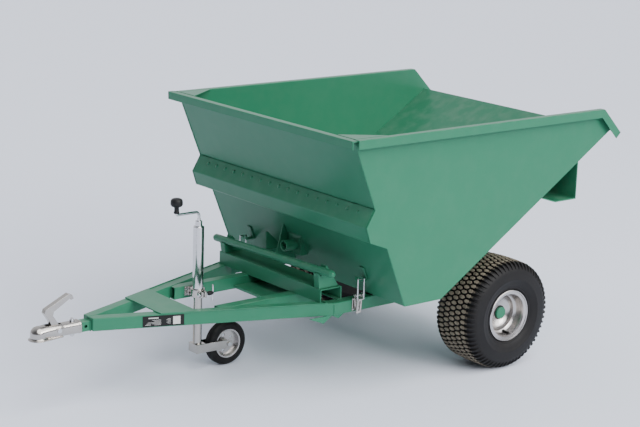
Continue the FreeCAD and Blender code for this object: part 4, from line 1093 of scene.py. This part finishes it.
@dataclass
class Chassis:
    """The welded frame, its welds and its label.

    Attributes:
        shop: the finishes and trees.
        tube_round: the corner radius of the frame's tubes.
        label_relief: how far the label's marks stand out.
        label_thick: the label's thickness, with a little to spare.
        nose_half: half the frame's width at its nose.
        front_weld: the length of the bead at the cross plate's front.
        rear_weld: the length of the bead at its rear.
        tubes: the nodes that are tubes.
        plates: the nodes that are cut from plate.
    """

    shop: Workshop
    tube_round: float = 4.0 * MM
    label_relief: float = 0.12 * MM
    label_thick: float = 1.3 * MM
    nose_half: float = 38.0 * MM
    front_weld: float = 58.0 * MM
    rear_weld: float = 55.0 * MM
    tubes: tuple[str, ...] = (
        "drawbar_left",
        "drawbar_right",
        "rail_left",
        "rail_right",
        "stringer_left",
        "stringer_right",
        "rear_cross_member",
        "pivot_cross_member",
        "coupling_stub",
    )
    plates: tuple[str, ...] = (
        "cross_channel",
        "front_cross_member",
        "frame_gussets",
        "axle",
        "axle_hangers",
        "pivot_lugs",
        "bar_saddles",
    )

    def build(self) -> None:
        """Eases the tubes and plates and lays the welds."""
        paint = self.shop.paint
        for node in self.tubes:
            Softened(node, fold=self.tube_round, cut=1.0 * MM).dress(paint.frame)
        for node in self.plates:
            Softened(node, fold=2.2 * MM, cut=1.0 * MM).dress(paint.frame)
        Softened("rest_pads", fold=1.5 * MM).dress(paint.smooth_rubber)
        self.welds()

    def welds(self) -> None:
        """Beads where the frame's members meet."""
        gusset_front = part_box("frame_gussets")[1].x
        bar_low, bar_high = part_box("drawbar_left")
        channel_low, channel_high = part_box("cross_channel")
        rail_low, rail_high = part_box("rail_left")
        stub_low, stub_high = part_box("coupling_stub")
        top = bar_high.z
        nose, butt = stub_low.x, rail_high.x
        slope = (bar_high.y - self.nose_half) / (nose - bar_low.x)
        front_half = self.nose_half + slope * (nose - gusset_front)
        rear_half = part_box("frame_gussets")[1].y
        gusset_rear = nose - (rear_half - self.nose_half) / slope
        plate_z, edge_z = top + 2 * MM, top + 1 * MM
        paths = []
        for sign in (1, -1):
            front, rear = sign * front_half, sign * rear_half
            inner_front = sign * (front_half - self.front_weld)
            inner_rear = sign * (rear_half - self.rear_weld)
            paths.append([(gusset_front, 0.9 * front, plate_z), (gusset_front, inner_front, plate_z)])
            paths.append([(gusset_rear, 0.98 * rear, plate_z), (gusset_rear, inner_rear, plate_z)])
            paths.append([(gusset_front, front, edge_z), (gusset_rear, rear, edge_z)])
            outer, inner = sign * rail_high.y, sign * rail_low.y
            for x in (channel_low.x, channel_high.x):
                paths.append([(x, inner + sign * 2 * MM, edge_z), (x, sign * channel_high.y, edge_z)])
            paths.append([(butt, outer, rail_low.z + 4 * MM), (butt, outer, top - 4 * MM)])
            paths.append([(butt, outer - sign * 3 * MM, top), (butt, inner + sign * 3 * MM, top)])
        half = (stub_high.y - stub_low.y) / 2
        middle = (stub_high.z + stub_low.z) / 2
        ring = [(1, 1), (-1, 1), (-1, -1), (1, -1), (1, 1)]
        paths.append([(nose + 1 * MM, a * half, middle + b * half) for a, b in ring])
        self.shop.weld("frame_welds", paths, "chassis", self.shop.paint.frame, "frame_paint", 2.8 * MM)

    def dress(self) -> None:
        """Puts the blank label and its marks on the drawbar."""
        paint = self.shop.paint
        Softened("data_plate", fold=0.4 * MM, cut=0.3 * MM).dress(paint.label)
        low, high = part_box("data_plate")
        run = Vector((high.x - low.x, low.y - high.y + self.label_thick, 0.0))
        length = run.length
        along = run.normalized()
        out = Vector((-along.y, along.x, 0.0))
        turn = Matrix.Translation(Vector((low.x, high.y, low.z))) @ Matrix(
            ((along.x, out.x, 0, 0), (along.y, out.y, 0, 0), (0, 0, 1, 0), (0, 0, 0, 1))
        )
        height = high.z - low.z
        work = bmesh.new()

        def mark(left: float, right: float, bottom: float, top: float) -> None:
            """Adds one light mark, placed by shares of the label."""
            slab(
                work,
                Vector((left * length, -0.2 * MM, bottom * height)),
                Vector((right * length, self.label_relief, top * height)),
                turn,
            )

        mark(0.05, 0.27, 0.12, 0.86)
        mark(0.62, 0.86, 0.74, 0.84)
        for row in range(5):
            level = 0.14 + 0.11 * row
            mark(0.56, 0.72 + 0.05 * (row % 3), level, level + 0.028)
            mark(0.33, 0.40 + 0.03 * (row % 2), level + 0.08, level + 0.108)
        for row in range(3):
            level = 0.14 + 0.11 * row
            mark(0.80, 0.94 - 0.03 * row, level, level + 0.028)
        finished(new_object("label_marks", mesh_of(work, "label_marks")), paint.marks, "chassis")


@dataclass
class Hopper:
    """The folded sheet hopper with its welds and weld dots.

    Attributes:
        shop: the finishes and trees.
        fold: the outside radius of the sheet's folds.
        dots: the number of weld dots along the front stiffener.
        dot_radius: the dots' radius.
        nose_rise: how far the stiffener's nose is above its foot.
        foot_step: how far the front plate's foot stands ahead of the floor.
        rim_back: how far the front plate's head is behind its folded rim.
        sheets: the nodes that are folded sheet.
        fittings: the nodes that are cut from plate and welded on.
    """

    shop: Workshop
    fold: float = 4.5 * MM
    dots: int = 17
    dot_radius: float = 8.5 * MM
    nose_rise: float = 100.5 * MM
    foot_step: float = 5.0 * MM
    rim_back: float = 33.0 * MM
    sheets: tuple[str, ...] = (
        "side_plate_left",
        "side_plate_right",
        "front_plate",
        "chute_plate",
        "front_stiffener",
        "rear_stiffener",
    )
    fittings: tuple[str, ...] = ("corner_gussets", "lever_socket", "socket_stays", "latch_keepers", "pivot_legs")

    def build(self) -> None:
        """Eases the sheets and fittings and lays the welds."""
        paint = self.shop.paint
        for node in self.sheets:
            Softened(node, fold=self.fold, cut=0.9 * MM, wide=6.0 * MM).dress(paint.hopper)
        for node in self.fittings:
            Softened(node, fold=1.8 * MM, cut=0.9 * MM).dress(paint.hopper)
        Softened("pivot_pins", fold=1.5 * MM).dress(paint.bright)
        self.welds()

    def front_at(self, height: float) -> float:
        """How far forward the front plate's outer face is at a height.

        Args:
            height: the height.

        Returns:
            The place along the trailer.
        """
        plate_low, plate_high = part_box("front_plate")
        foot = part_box("chute_plate")[1].x + self.foot_step
        head = plate_high.x - self.rim_back
        return foot + (head - foot) * (height - plate_low.z) / (plate_high.z - plate_low.z)

    def welds(self) -> None:
        """Beads on the corner seams, round the socket and the stays."""
        low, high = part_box("front_plate")
        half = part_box("side_plate_left")[0].y
        stiff_low, stiff_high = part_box("front_stiffener")
        bottom, top = low.z + 2 * MM, high.z - 6 * MM
        paths = []
        for sign in (1, -1):
            y = sign * (half + 1 * MM)
            under = (self.front_at(bottom) + 1 * MM, y, bottom)
            paths.append([under, (self.front_at(stiff_low.z), y, stiff_low.z)])
            over = (self.front_at(stiff_high.z) + 1 * MM, y, stiff_high.z)
            paths.append([over, (self.front_at(top), y, top)])
        low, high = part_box("lever_socket")
        for y in (low.y, high.y):
            paths.append([(self.front_at(low.z), y, low.z), (self.front_at(high.z), y, high.z)])
        paths.append([(self.front_at(high.z), low.y, high.z), (self.front_at(high.z), high.y, high.z)])
        self.shop.weld("hopper_welds", paths, "hopper", self.shop.paint.hopper, "hopper_paint", 2.4 * MM)

    def dress(self) -> None:
        """Adds the weld dots on the stiffener."""
        low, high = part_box("front_stiffener")
        nose = Vector((high.x, 0.0, low.z + self.nose_rise))
        head = Vector((self.front_at(high.z) + 3 * MM, 0.0, high.z))
        facing = Vector((head.z - nose.z, 0.0, nose.x - head.x)).normalized()
        middle = (nose + head * 2) / 3 + facing * 0.4 * MM
        reach = 0.86 * high.y
        steps = [2 * reach * k / (self.dots - 1) - reach for k in range(self.dots)]
        paint = self.shop.paint
        piece = mesh_from("weld_dots", [Vector((middle.x, y, middle.z)) for y in steps])
        values = {"Radius": self.dot_radius, "Facing": tuple(facing), "Finish": paint.hopper}
        finished(self.shop.dot.run(piece, values), paint.hopper, "hopper")


@dataclass
class RunningWheel:
    """A turf tyre on a deep dished rim, with its cap and valve.

    Attributes:
        shop: the finishes and trees.
        side: the side it stands on.
        around: the number of tread blocks in one column.
        columns: the number of columns.
        spacing: the distance between columns.
        crown: how fast the tread falls away to the sides, per metre.
        block_long: half a block's length along the wheel's width.
        block_high: half its length round the wheel.
        block_deep: its depth.
        centre: the wheel's centre.
        radius: the tyre's radius.
        body: the CAD body.
    """

    shop: Workshop
    side: Side
    around: int = 64
    columns: int = 5
    spacing: float = 34.5 * MM
    crown: float = 0.45
    block_long: float = 18.0 * MM
    block_high: float = 8.4 * MM
    block_deep: float = 12.0 * MM
    centre: Vector = field(init=False)
    radius: float = field(init=False)
    body: str = field(init=False)

    def __post_init__(self) -> None:
        """Finds the wheel's centre from its tyre."""
        low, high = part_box(f"tyre_{self.side.word}")
        self.centre = (low + high) / 2
        self.radius = (high.z - low.z) / 2
        self.body = f"wheel_{self.side.word}"

    def build(self) -> None:
        """Makes the carcass, the tread and the rim."""
        word = self.side.word
        top = self.radius
        rubber = self.shop.paint.tread(f"tyre_rubber_{word}", self.centre, top - 6 * MM, top - 2 * MM)
        half = [
            (104.0, 97.0), (112.0, 101.0), (118.5, 104.0), (123.0, 107.5), (125.0, 110.5),
            (128.0, 111.5), (131.0, 110.5), (140.0, 116.0), (152.0, 120.0), (163.0, 122.2),
            (166.0, 124.0), (170.0, 124.6), (173.0, 123.4), (186.0, 123.6), (189.0, 122.6),
            (200.0, 121.5), (212.0, 118.5), (224.0, 111.5), (232.0, 102.0), (236.0, 92.0),
            (237.2, 60.0), (238.0, 30.0),
        ]
        upper = in_metres(half)
        profile = upper + [(238.3 * MM, 0.0)] + [(radius, -across) for radius, across in upper[::-1]]
        carcass = turned(f"tyre_carcass_{word}", profile, self.centre, Axis.Y, 128)
        finished(carcass, rubber, self.body, [f"tyre_{word}"])
        self.blocks(rubber)
        self.shoulders(rubber)
        self.rim()

    def blocks(self, rubber: bpy.types.Material) -> None:
        """Sets the six-sided blocks round the crown.

        Args:
            rubber: the tyre's rubber.
        """
        long, high = self.block_long, self.block_high
        flat = 0.48 * long
        outline = [(-long, 0.0), (-flat, -high), (flat, -high), (long, 0.0), (flat, high), (-flat, high)]
        levels = [(-2.0 * MM, 1.06), (self.block_deep - 1.6 * MM, 0.93), (self.block_deep, 0.82)]
        work = bmesh.new()
        rows = [[work.verts.new((depth, y * share, z * share)) for y, z in outline] for depth, share in levels]
        loft(work, rows)
        bmesh.ops.recalc_face_normals(work, faces=work.faces)
        piece = new_object(f"tread_blocks_{self.side.word}", mesh_of(work, "tread_block"))
        values = {
            "Around": self.around,
            "Columns": self.columns,
            "Radius": self.radius - self.block_deep,
            "Spacing": self.spacing,
            "Crown": self.crown,
            "Centre": tuple(self.centre),
            "Finish": rubber,
        }
        finished(self.shop.tread.run(piece, values), rubber, self.body)

    def shoulders(self, rubber: bpy.types.Material) -> None:
        """Sets the thin lugs that run over the shoulders.

        Args:
            rubber: the tyre's rubber.
        """
        path = [
            (246.5, 88.0, 5.4), (244.0, 98.0, 5.4), (239.0, 106.0, 5.0), (231.5, 112.5, 4.4),
            (223.0, 116.4, 3.6), (215.0, 118.4, 2.2),
        ]
        work = bmesh.new()
        for sign in (1, -1):
            rings = []
            for k, (radius, across, half) in enumerate(path):
                before = path[max(k - 1, 0)]
                after = path[min(k + 1, len(path) - 1)]
                run = Vector((after[0] - before[0], after[1] - before[1])).normalized()
                inward = Vector((-run.y, run.x)) * 9.0
                if inward.x > 0:
                    inward = -inward
                outer, inner = (radius, across), (radius + inward.x, across - abs(inward.y))
                corners = [(outer, -0.8), (outer, 0.8), (inner, 1.3), (inner, -1.3)]
                rings.append(
                    [
                        work.verts.new((reach * MM, sign * y * MM, share * half * MM))
                        for (reach, y), share in corners
                    ]
                )
            loft(work, rings)
        bmesh.ops.recalc_face_normals(work, faces=work.faces)
        mesh = mesh_of(work, "shoulder_lug")
        piece = new_object(f"shoulder_lugs_{self.side.word}", mesh)
        values = {
            "Around": self.around,
            "Columns": 1,
            "Radius": 0.0,
            "Spacing": 0.0,
            "Crown": 0.0,
            "Centre": tuple(self.centre),
            "Finish": rubber,
        }
        finished(self.shop.tread.run(piece, values), rubber, self.body)

    def rim(self) -> None:
        """Spins the barrel, its rolled flanges, the dished disc and the hub."""
        word, sign = self.side.word, self.side.value
        paint = self.shop.paint
        edge = [
            (98.0, 62.0), (98.5, 96.0), (101.0, 101.5), (108.0, 104.0), (114.0, 105.0), (117.5, 107.0),
            (118.0, 110.5), (115.5, 112.6), (111.5, 111.5), (110.0, 108.5), (106.0, 107.5),
            (99.0, 105.5), (96.2, 100.0), (95.0, 92.0), (94.6, 66.0), (92.0, 60.0), (83.0, 54.5),
            (81.5, 50.0),
        ]
        outside = [(98.0, 62.0), (89.0, 55.0), (86.0, 50.0)]
        well = in_metres(outside, -1) + in_metres(outside[::-1])
        barrel = turned(f"rim_barrel_{word}", both_ways(in_metres(edge)) + well[1:-1], self.centre, Axis.Y, 96)
        finished(barrel, paint.silver, self.body, [f"rim_{word}"])
        disc = [
            (26.0, -70.0), (33.0, -70.0), (33.0, 6.0), (40.0, 10.0), (66.0, 21.0), (76.0, 27.5),
            (82.0, 36.0), (83.5, 44.0), (81.0, 44.5), (79.0, 38.0), (73.0, 31.5), (64.0, 25.5),
            (40.0, 15.5), (35.0, 14.5), (33.0, 17.0), (33.0, 48.6), (31.8, 50.0), (26.0, 50.0),
        ]
        plate = turned(f"rim_disc_{word}", in_metres(disc, sign), self.centre, Axis.Y, 96)
        finished(plate, paint.silver, self.body)
        seam = [(36.5, 13.6), (33.2, 17.6), (32.6, 14.0), (35.0, 12.4)]
        bead = turned(f"hub_weld_{word}", in_metres(seam, sign), self.centre, Axis.Y, 72)
        finished(bead, paint.silver, self.body)

    def dress(self) -> None:
        """Adds the cap, a black ring of painted shade round it, the bearings and the valve."""
        word, sign = self.side.word, self.side.value
        paint = self.shop.paint
        outside = [(0.0, 64.0), (20.0, 64.0), (24.0, 63.4), (26.6, 61.6), (27.5, 58.6), (27.5, 50.4)]
        cap = outside + [(23.5, 50.4), (23.5, 58.0), (0.0, 59.6)]
        piece = turned(f"wheel_cap_{word}", in_metres(cap, sign), self.centre, Axis.Y, 64, False)
        finished(piece, paint.frame, self.body, [f"hub_cap_{word}"])
        # Painted shade: a black rubber ring round the cap, where the shade falls, not a real part.
        shade_ring_outline = [(27.6, 50.2), (32.4, 50.2), (31.8, 52.0), (28.4, 52.6)]
        ring = turned(f"hub_seal_{word}", in_metres(shade_ring_outline, sign), self.centre, Axis.Y, 64)
        finished(ring, paint.smooth_rubber, self.body)
        Softened(f"bearings_{word}", fold=1.0 * MM).dress(paint.bright)
        low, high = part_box(f"valve_{word}")
        foot = Vector(((low.x + high.x) / 2, low.y if sign > 0 else high.y, (low.z + high.z) / 2))
        stem = [
            (0.0, -6.0), (8.0, -6.0), (8.2, -3.0), (6.4, 0.0), (5.2, 3.0), (4.8, 15.0), (4.2, 16.5),
            (5.0, 17.5), (5.2, 28.0), (4.4, 30.6), (0.0, 31.0),
        ]
        piece = turned(f"valve_stem_{word}", in_metres(stem, sign), foot, Axis.Y, 24, False)
        finished(piece, paint.smooth_rubber, self.body, [f"valve_{word}"])


@dataclass
class CouplingHead:
    """The pressed coupling head, its handle, jaw and bolts.

    Attributes:
        shop: the finishes and trees.
        dome: the dome's outer radius.
        seat: the radius of the space for the ball.
        slot: half the width of the handle's slot.
        grid: the fineness of the head's shape.
        around: the number of vertices round a section.
        stations: back-to-front sections: share of the way to the ball, half width, foot, head and squareness.
    """

    shop: Workshop
    dome: float = 33.5 * MM
    seat: float = 25.3 * MM
    slot: float = 14.0 * MM
    grid: float = 1.15 * MM
    around: int = 40
    stations: tuple[tuple[float, float, float, float, float], ...] = (
        (0.00, 28.0, 1.0, 52.5, 3.4), (0.015, 30.0, 0.0, 54.5, 3.4), (0.05, 30.0, 0.0, 54.5, 3.4),
        (0.075, 27.8, 1.5, 52.5, 3.4), (0.45, 27.8, 1.5, 52.5, 3.4), (0.52, 30.0, 0.5, 55.0, 3.0),
        (0.66, 31.5, 0.0, 57.0, 2.7), (0.86, 32.5, 0.0, 57.6, 2.4), (1.00, 33.0, 0.0, 56.0, 2.2),
    )

    def __post_init__(self) -> None:
        """Finds the head's ends and the ball's centre."""
        self.low, self.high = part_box("coupling_body")
        mounts = frame["record"]["mounts"]
        self.ball = Vector(next(mount["pos_m"] for mount in mounts if mount["name"] == "ball_socket"))
        self.pin = Vector(
            next(joint["pos_m"] for joint in frame["joints"] if joint["name"] == "coupling_handle_press")
        )

    def build(self) -> None:
        """Shapes the head and eases the handle and jaw."""
        paint = self.shop.paint
        finished(self.head(), paint.zinc, "chassis", ["coupling_body"])
        Moulded("release_handle", ["coupling_handle"], 0.8 * MM, 4).dress(paint.zinc)
        Softened("coupling_jaw", fold=1.4 * MM).dress(paint.dark)

    def section(self, work: bmesh.types.BMesh, row: tuple[float, float, float, float, float]) -> list:
        """One ring of the sleeve and cheeks.

        Args:
            work: the bmesh.
            row: the section's place, half width, foot, head and squareness.

        Returns:
            Its vertices.
        """
        share, wide, foot, head, power = row
        x = self.low.x + share * (self.ball.x - self.low.x)
        middle, tall = (foot + head) / 2, (head - foot) / 2
        ring = []
        for k in range(self.around):
            angle = 2 * math.pi * k / self.around
            one, two = math.cos(angle), math.sin(angle)
            y = wide * math.copysign(abs(one) ** (2 / power), one)
            z = middle + tall * math.copysign(abs(two) ** (2 / power), two)
            ring.append(work.verts.new((x, y * MM, self.low.z + z * MM)))
        return ring

    def head(self) -> bpy.types.Object:
        """Joins sleeve, cheeks, dome and toe, and cuts the slot and the ball's seat.

        Returns:
            The new object.
        """
        work = bmesh.new()
        loft(work, [self.section(work, row) for row in self.stations])
        self.toe(work)
        for part in self.dome_and_lip():
            work.from_mesh(part.data)
            bpy.data.objects.remove(part)
        bmesh.ops.recalc_face_normals(work, faces=work.faces)
        piece = new_object("coupling_head", mesh_of(work, "coupling_head"))
        grid = piece.modifiers.new("grid", "REMESH")
        grid.mode = "VOXEL"
        grid.voxel_size = self.grid
        ease = piece.modifiers.new("ease", "SMOOTH")
        ease.factor = 0.6
        ease.iterations = 7
        cutters = self.cutters()
        for number, cutter in enumerate(cutters):
            cut = piece.modifiers.new(f"cut_{number}", "BOOLEAN")
            cut.object = cutter
            cut.operation = "DIFFERENCE"
        baked(piece)
        for cutter in cutters:
            bpy.data.objects.remove(cutter)
        smooth(piece.data, 45.0)
        return piece

    def toe(self, work: bmesh.types.BMesh) -> None:
        """Adds the turned-out lower edge of the cheeks.

        Args:
            work: the bmesh.
        """
        back, wide = self.low.x + 86 * MM, self.high.y
        corners = [(back, 27 * MM), (self.ball.x - 45 * MM, 35 * MM), (self.ball.x, wide)]
        outline = corners + [(x, -y) for x, y in corners[::-1]]
        foot = [work.verts.new((x, y, self.low.z)) for x, y in outline]
        top = [work.verts.new((x, y, self.low.z + 4.5 * MM)) for x, y in outline]
        loft(work, [foot, top])

    def dome_and_lip(self) -> list[bpy.types.Object]:
        """Turns the dome over the ball and the flared lip round it.

        Returns:
            The two new objects.
        """
        rise = self.high.z - self.ball.z
        drop = self.low.z - self.ball.z
        turns = [math.radians(angle) for angle in range(0, 90, 9)]
        arc = [(self.dome * math.cos(turn), rise * math.sin(turn)) for turn in turns]
        profile = [(0.0, drop), (self.dome, drop)] + arc + [(0.0, rise)]
        dome = turned("dome", profile, self.ball, Axis.Z, 64, False)
        edge = self.high.y
        lip = [
            (0.0, drop),
            (edge - 1 * MM, drop),
            (edge, drop + 2 * MM),
            (edge - 1 * MM, drop + 4.5 * MM),
            (self.dome + 3 * MM, drop + 6 * MM),
            (self.dome, drop + 11 * MM),
            (0.0, drop + 12 * MM),
        ]
        return [dome, turned("lip", lip, self.ball, Axis.Z, 64, False)]

    def cutters(self) -> list[bpy.types.Object]:
        """Shapes the ball's space, the handle's slot and the jaw's window.

        Returns:
            The new objects, to be cut from the head.
        """
        reach = self.seat
        turns = [math.radians(angle) for angle in range(10, 90, 10)]
        bowl = [(0.0, -60 * MM), (reach, -60 * MM), (reach, 0.0)]
        bowl += [(reach * math.cos(turn), reach * math.sin(turn)) for turn in turns]
        ball = turned("cutter_ball", bowl + [(0.0, reach)], self.ball, Axis.Z, 64, False)
        made = [ball]
        foot = self.low.z - 20 * MM
        slot = (self.pin.x - 21 * MM, self.ball.x - 27 * MM, self.high.z + 20 * MM)
        window = (self.ball.x - 34 * MM, self.ball.x - 15 * MM, self.ball.z + 13 * MM)
        for number, (back, front, top) in enumerate((slot, window)):
            work = bmesh.new()
            slab(work, Vector((back, -self.slot, foot)), Vector((front, self.slot, top)), Matrix())
            made.append(new_object(f"cutter_{number}", mesh_of(work, f"cutter_{number}")))
        return made

    def dress(self) -> None:
        """Adds the bolt and the handle's pin."""
        Softened("coupling_bolts", fold=0.8 * MM).dress(self.shop.paint.bright)


@dataclass
class LeverBar:
    """The loose bar in its saddles."""

    shop: Workshop

    def build(self) -> None:
        """Eases the bar."""
        Softened("tip_bar", fold=1.5 * MM).dress(self.shop.paint.frame)


@dataclass
class ToggleLatch:
    """One over-centre latch.

    Attributes:
        shop: the finishes and trees.
        side: the side it stands on.
    """

    shop: Workshop
    side: Side

    def build(self) -> None:
        """Moulds the lever and the loop."""
        paint = self.shop.paint
        word = self.side.word
        Moulded(f"toggle_lever_{word}", [f"latch_lever_{word}"], 0.7 * MM, 4).dress(paint.zinc)
        Moulded(f"toggle_loop_{word}", [f"latch_bail_{word}"], 0.7 * MM, 6).dress(paint.bright)

    def dress(self) -> None:
        """Adds the screws of the base plate."""
        lever_low, lever_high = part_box(f"latch_lever_{self.side.word}")
        middle = (lever_low.x + lever_high.x) / 2
        y = self.side.value * (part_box("rail_left")[1].y + 4 * MM)
        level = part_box("latch_bases")[0].z + 8 * MM
        points = [(middle + shift * MM, y, level) for shift in (-19, 19)]
        facing = (0.0, float(self.side.value), 0.0)
        self.shop.studs(
            f"latch_screws_{self.side.word}", points, facing, 8 * MM,
            "chassis", self.shop.paint.bright, "bright_steel",
        )


@dataclass
class JockeyWheel:
    """The screw-down jockey wheel with its clamp."""

    shop: Workshop

    def build(self) -> None:
        """Makes the tube, leg, crank, knob and wheel."""
        paint = self.shop.paint
        Softened("jockey_tube", fold=1.0 * MM).dress(paint.bright)
        Softened("jockey_leg", fold=2.0 * MM).dress(paint.zinc)
        Softened("jockey_crank", fold=0.8 * MM).dress(paint.bright)
        Softened("jockey_nut", fold=0.8 * MM).dress(paint.dark)
        Softened("jockey_rim", fold=1.2 * MM).dress(paint.silver)
        Moulded("tube_clamp", ["jockey_clamp"], 0.9 * MM, 5).dress(paint.zinc)
        Moulded("clamp_screw", ["clamp_handle"], 0.8 * MM, 3).dress(paint.bright)
        self.knob()
        self.tyre()

    def knob(self) -> None:
        """Spins the mushroom knob."""
        low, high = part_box("jockey_knob")
        middle = Vector(((low.x + high.x) / 2, (low.y + high.y) / 2, low.z))
        tall = high.z - low.z
        reach = (high.x - low.x) / 2
        shape = [
            (0.25, 0.0), (0.42, 0.0), (0.46, 0.03), (0.46, 0.10), (0.40, 0.14), (0.38, 0.36),
            (0.44, 0.42), (0.80, 0.47), (0.93, 0.53), (1.0, 0.62), (1.0, 0.72), (0.96, 0.84),
            (0.84, 0.93), (0.60, 0.975), (0.30, 0.99), (0.0, 1.0),
        ]
        profile = [(0.0, 0.45 * tall), (0.245 * reach, 0.44 * tall)] + [
            (radius * reach, along * tall) for radius, along in shape
        ]
        piece = turned("crank_knob", profile, middle, Axis.Z, 48, False)
        finished(piece, self.shop.paint.plastic, "jockey_knob", ["jockey_knob"])

    def tyre(self) -> None:
        """Spins the grooved solid tyre."""
        low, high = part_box("jockey_tyre")
        middle = (low + high) / 2
        reach = (high.z - low.z) / 2 / MM
        half = (high.y - low.y) / 2 / MM
        side = [
            (66.0, half - 3), (70.0, half - 1), (76.0, half), (84.0, half), (90.0, half - 1.5),
            (95.0, half - 5), (98.4, half - 9), (reach, half - 13), (reach, 7.5), (reach - 2.5, 6.6),
            (reach - 2.5, 4.4), (reach, 3.5),
        ]
        piece = turned("jockey_rubber", both_ways(in_metres(side)), middle, Axis.Y, 96)
        finished(piece, self.shop.paint.smooth_rubber, "jockey_wheel", ["jockey_tyre"])

    def dress(self) -> None:
        """Eases the axle and adds the clamp's bolts and its screw's grip."""
        paint = self.shop.paint
        Softened("jockey_axle", fold=0.6 * MM).dress(paint.bright)
        low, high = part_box("jockey_clamp")
        middle = (low.z + high.z) / 2
        places = [(x, shift) for x in (low.x + 9 * MM, high.x - 9 * MM) for shift in (-12, 12)]
        points = [(x, low.y + 6 * MM, middle + shift * MM) for x, shift in places]
        facing = (0.0, 1.0, 0.0)
        self.shop.studs("clamp_bolts", points, facing, 10 * MM, "chassis", paint.bright, "bright_steel")
        screw_low, screw_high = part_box("clamp_handle")
        half = [(0.0, -17.0), (5.0, -16.0), (8.4, -12.0), (10.0, -5.0)]
        grip = half + [(radius, -along) for radius, along in half[::-1]]
        centre = (screw_low + screw_high) / 2
        centre.x = screw_low.x + 20 * MM
        piece = turned("clamp_grip", in_metres(grip), centre, Axis.X, 32, False)
        finished(piece, paint.plastic, "clamp_handle")


# ---------------------------------------------------------------- studio


@dataclass
class Studio:
    """The floor, the lights and the camera.

    Attributes:
        eye: the camera's place.
        yaw: the direction it looks in, turned from +X, in degrees.
        pitch: its tilt, in degrees.
        roll: its roll, in degrees.
        lens: its focal length in millimetres.
        sensor: the width of its sensor in millimetres.
        floor_size: the length of the floor's side.
        key_from: the direction the key light comes from.
        key_power: its power in watts per square metre.
        key_spread: the angle it fills, in degrees.
        strip_at: where the soft lamp hangs.
        strip_size: the length of its side.
        strip_power: its power in watts.
        aim: the point it is turned to.
        room_from: the direction the room is brightest in.
        room_power: the room's strength.
    """

    eye: Point = (4.3985, 5.607, 2.435)
    yaw: float = -128.91
    pitch: float = -13.86
    roll: float = 1.87
    lens: float = 92.84
    sensor: float = 36.0
    floor_size: float = 60.0
    key_from: Point = (-0.12, 0.80, 0.85)
    key_power: float = 4.3
    key_spread: float = 75.0
    strip_at: Point = (-1.5, 6.5, 3.6)
    strip_size: float = 2.2
    strip_power: float = 160.0
    aim: Point = (0.0, 0.0, 0.5)
    room_from: Point = (-0.60, -0.74, 0.30)
    room_power: float = 0.95

    def build(self) -> None:
        """Sets up floor, world, lights and camera."""
        self.floor()
        self.world()
        self.key()
        self.strip()
        self.camera()

    def key(self) -> None:
        """Hangs the broad key light."""
        data = bpy.data.lights.new("key", "SUN")
        data.energy = self.key_power
        data.angle = math.radians(self.key_spread)
        lamp = new_object("key", data)
        lamp.rotation_euler = (-Vector(self.key_from)).to_track_quat("-Z", "Y").to_euler()

    def floor(self) -> None:
        """Lays the pale floor."""
        half = self.floor_size / 2
        mesh = bpy.data.meshes.new("floor")
        corners = [(-half, -half, 0.0), (half, -half, 0.0), (half, half, 0.0), (-half, half, 0.0)]
        mesh.from_pydata(corners, [], [(0, 1, 2, 3)])
        ground = new_object("floor", mesh)
        material = bpy.data.materials.new("pale_floor")
        material.use_nodes = True
        shader = material.node_tree.nodes["Principled BSDF"]
        shader.inputs["Base Color"].default_value = (0.80, 0.845, 0.97, 1.0)
        shader.inputs["Roughness"].default_value = 0.75
        mesh.materials.append(material)

    def world(self) -> None:
        """Fills the room with soft light."""
        world = bpy.data.worlds.new("room")
        world.use_nodes = True
        sky = world.node_tree.nodes["Background"]
        graph = Graph(world.node_tree)
        ray = graph.add("ShaderNodeTexCoord").outputs["Generated"]
        inputs = {0: ray, 1: self.room_from}
        facing = graph.add("ShaderNodeVectorMath", inputs, operation="DOT_PRODUCT").outputs["Value"]
        share = graph.mapped(facing, -0.35, 0.75, 0.0, 1.0)
        dim, bright = (0.17, 0.175, 0.19, 1.0), (1.0, 1.02, 1.08, 1.0)
        graph.link(graph.blended(share, dim, bright), sky.inputs["Color"])
        sky.inputs["Strength"].default_value = self.room_power
        bpy.context.scene.world = world

    def strip(self) -> None:
        """Hangs a soft square lamp turned to the trailer."""
        data = bpy.data.lights.new("strip", "AREA")
        data.energy = self.strip_power
        data.size = self.strip_size
        lamp = new_object("strip", data)
        lamp.location = self.strip_at
        aim = Vector(self.aim) - Vector(self.strip_at)
        lamp.rotation_euler = aim.to_track_quat("-Z", "Y").to_euler()

    def camera(self) -> None:
        """Places the camera."""
        yaw, pitch, roll = (math.radians(value) for value in (self.yaw, self.pitch, self.roll))
        ahead = Vector((math.cos(yaw) * math.cos(pitch), math.sin(yaw) * math.cos(pitch), math.sin(pitch)))
        level = ahead.cross(Vector((0.0, 0.0, 1.0))).normalized()
        upright = level.cross(ahead)
        right = level * math.cos(roll) + upright * math.sin(roll)
        over = upright * math.cos(roll) - level * math.sin(roll)
        turn = Matrix((right, over, -ahead)).transposed().to_4x4()
        data = bpy.data.cameras.new("camera")
        data.lens = self.lens
        data.sensor_width = self.sensor
        camera = new_object("camera", data)
        camera.matrix_world = Matrix.Translation(Vector(self.eye)) @ turn
        bpy.context.scene.camera = camera


def main() -> None:
    """Builds and dresses every sub-assembly in turn."""
    logging.basicConfig(level=logging.INFO, format="%(name)s %(message)s")
    shop = Workshop()
    assemblies = [
        Chassis(shop),
        Hopper(shop),
        RunningWheel(shop, Side.LEFT),
        RunningWheel(shop, Side.RIGHT),
        CouplingHead(shop),
        ToggleLatch(shop, Side.LEFT),
        ToggleLatch(shop, Side.RIGHT),
        JockeyWheel(shop),
    ]
    for assembly in assemblies:
        assembly.build()
        assembly.dress()
    LeverBar(shop).build()
    Softened("latch_bases", fold=1.2 * MM).dress(shop.paint.zinc)
    Studio().build()


if __name__ == "__main__":
    main()
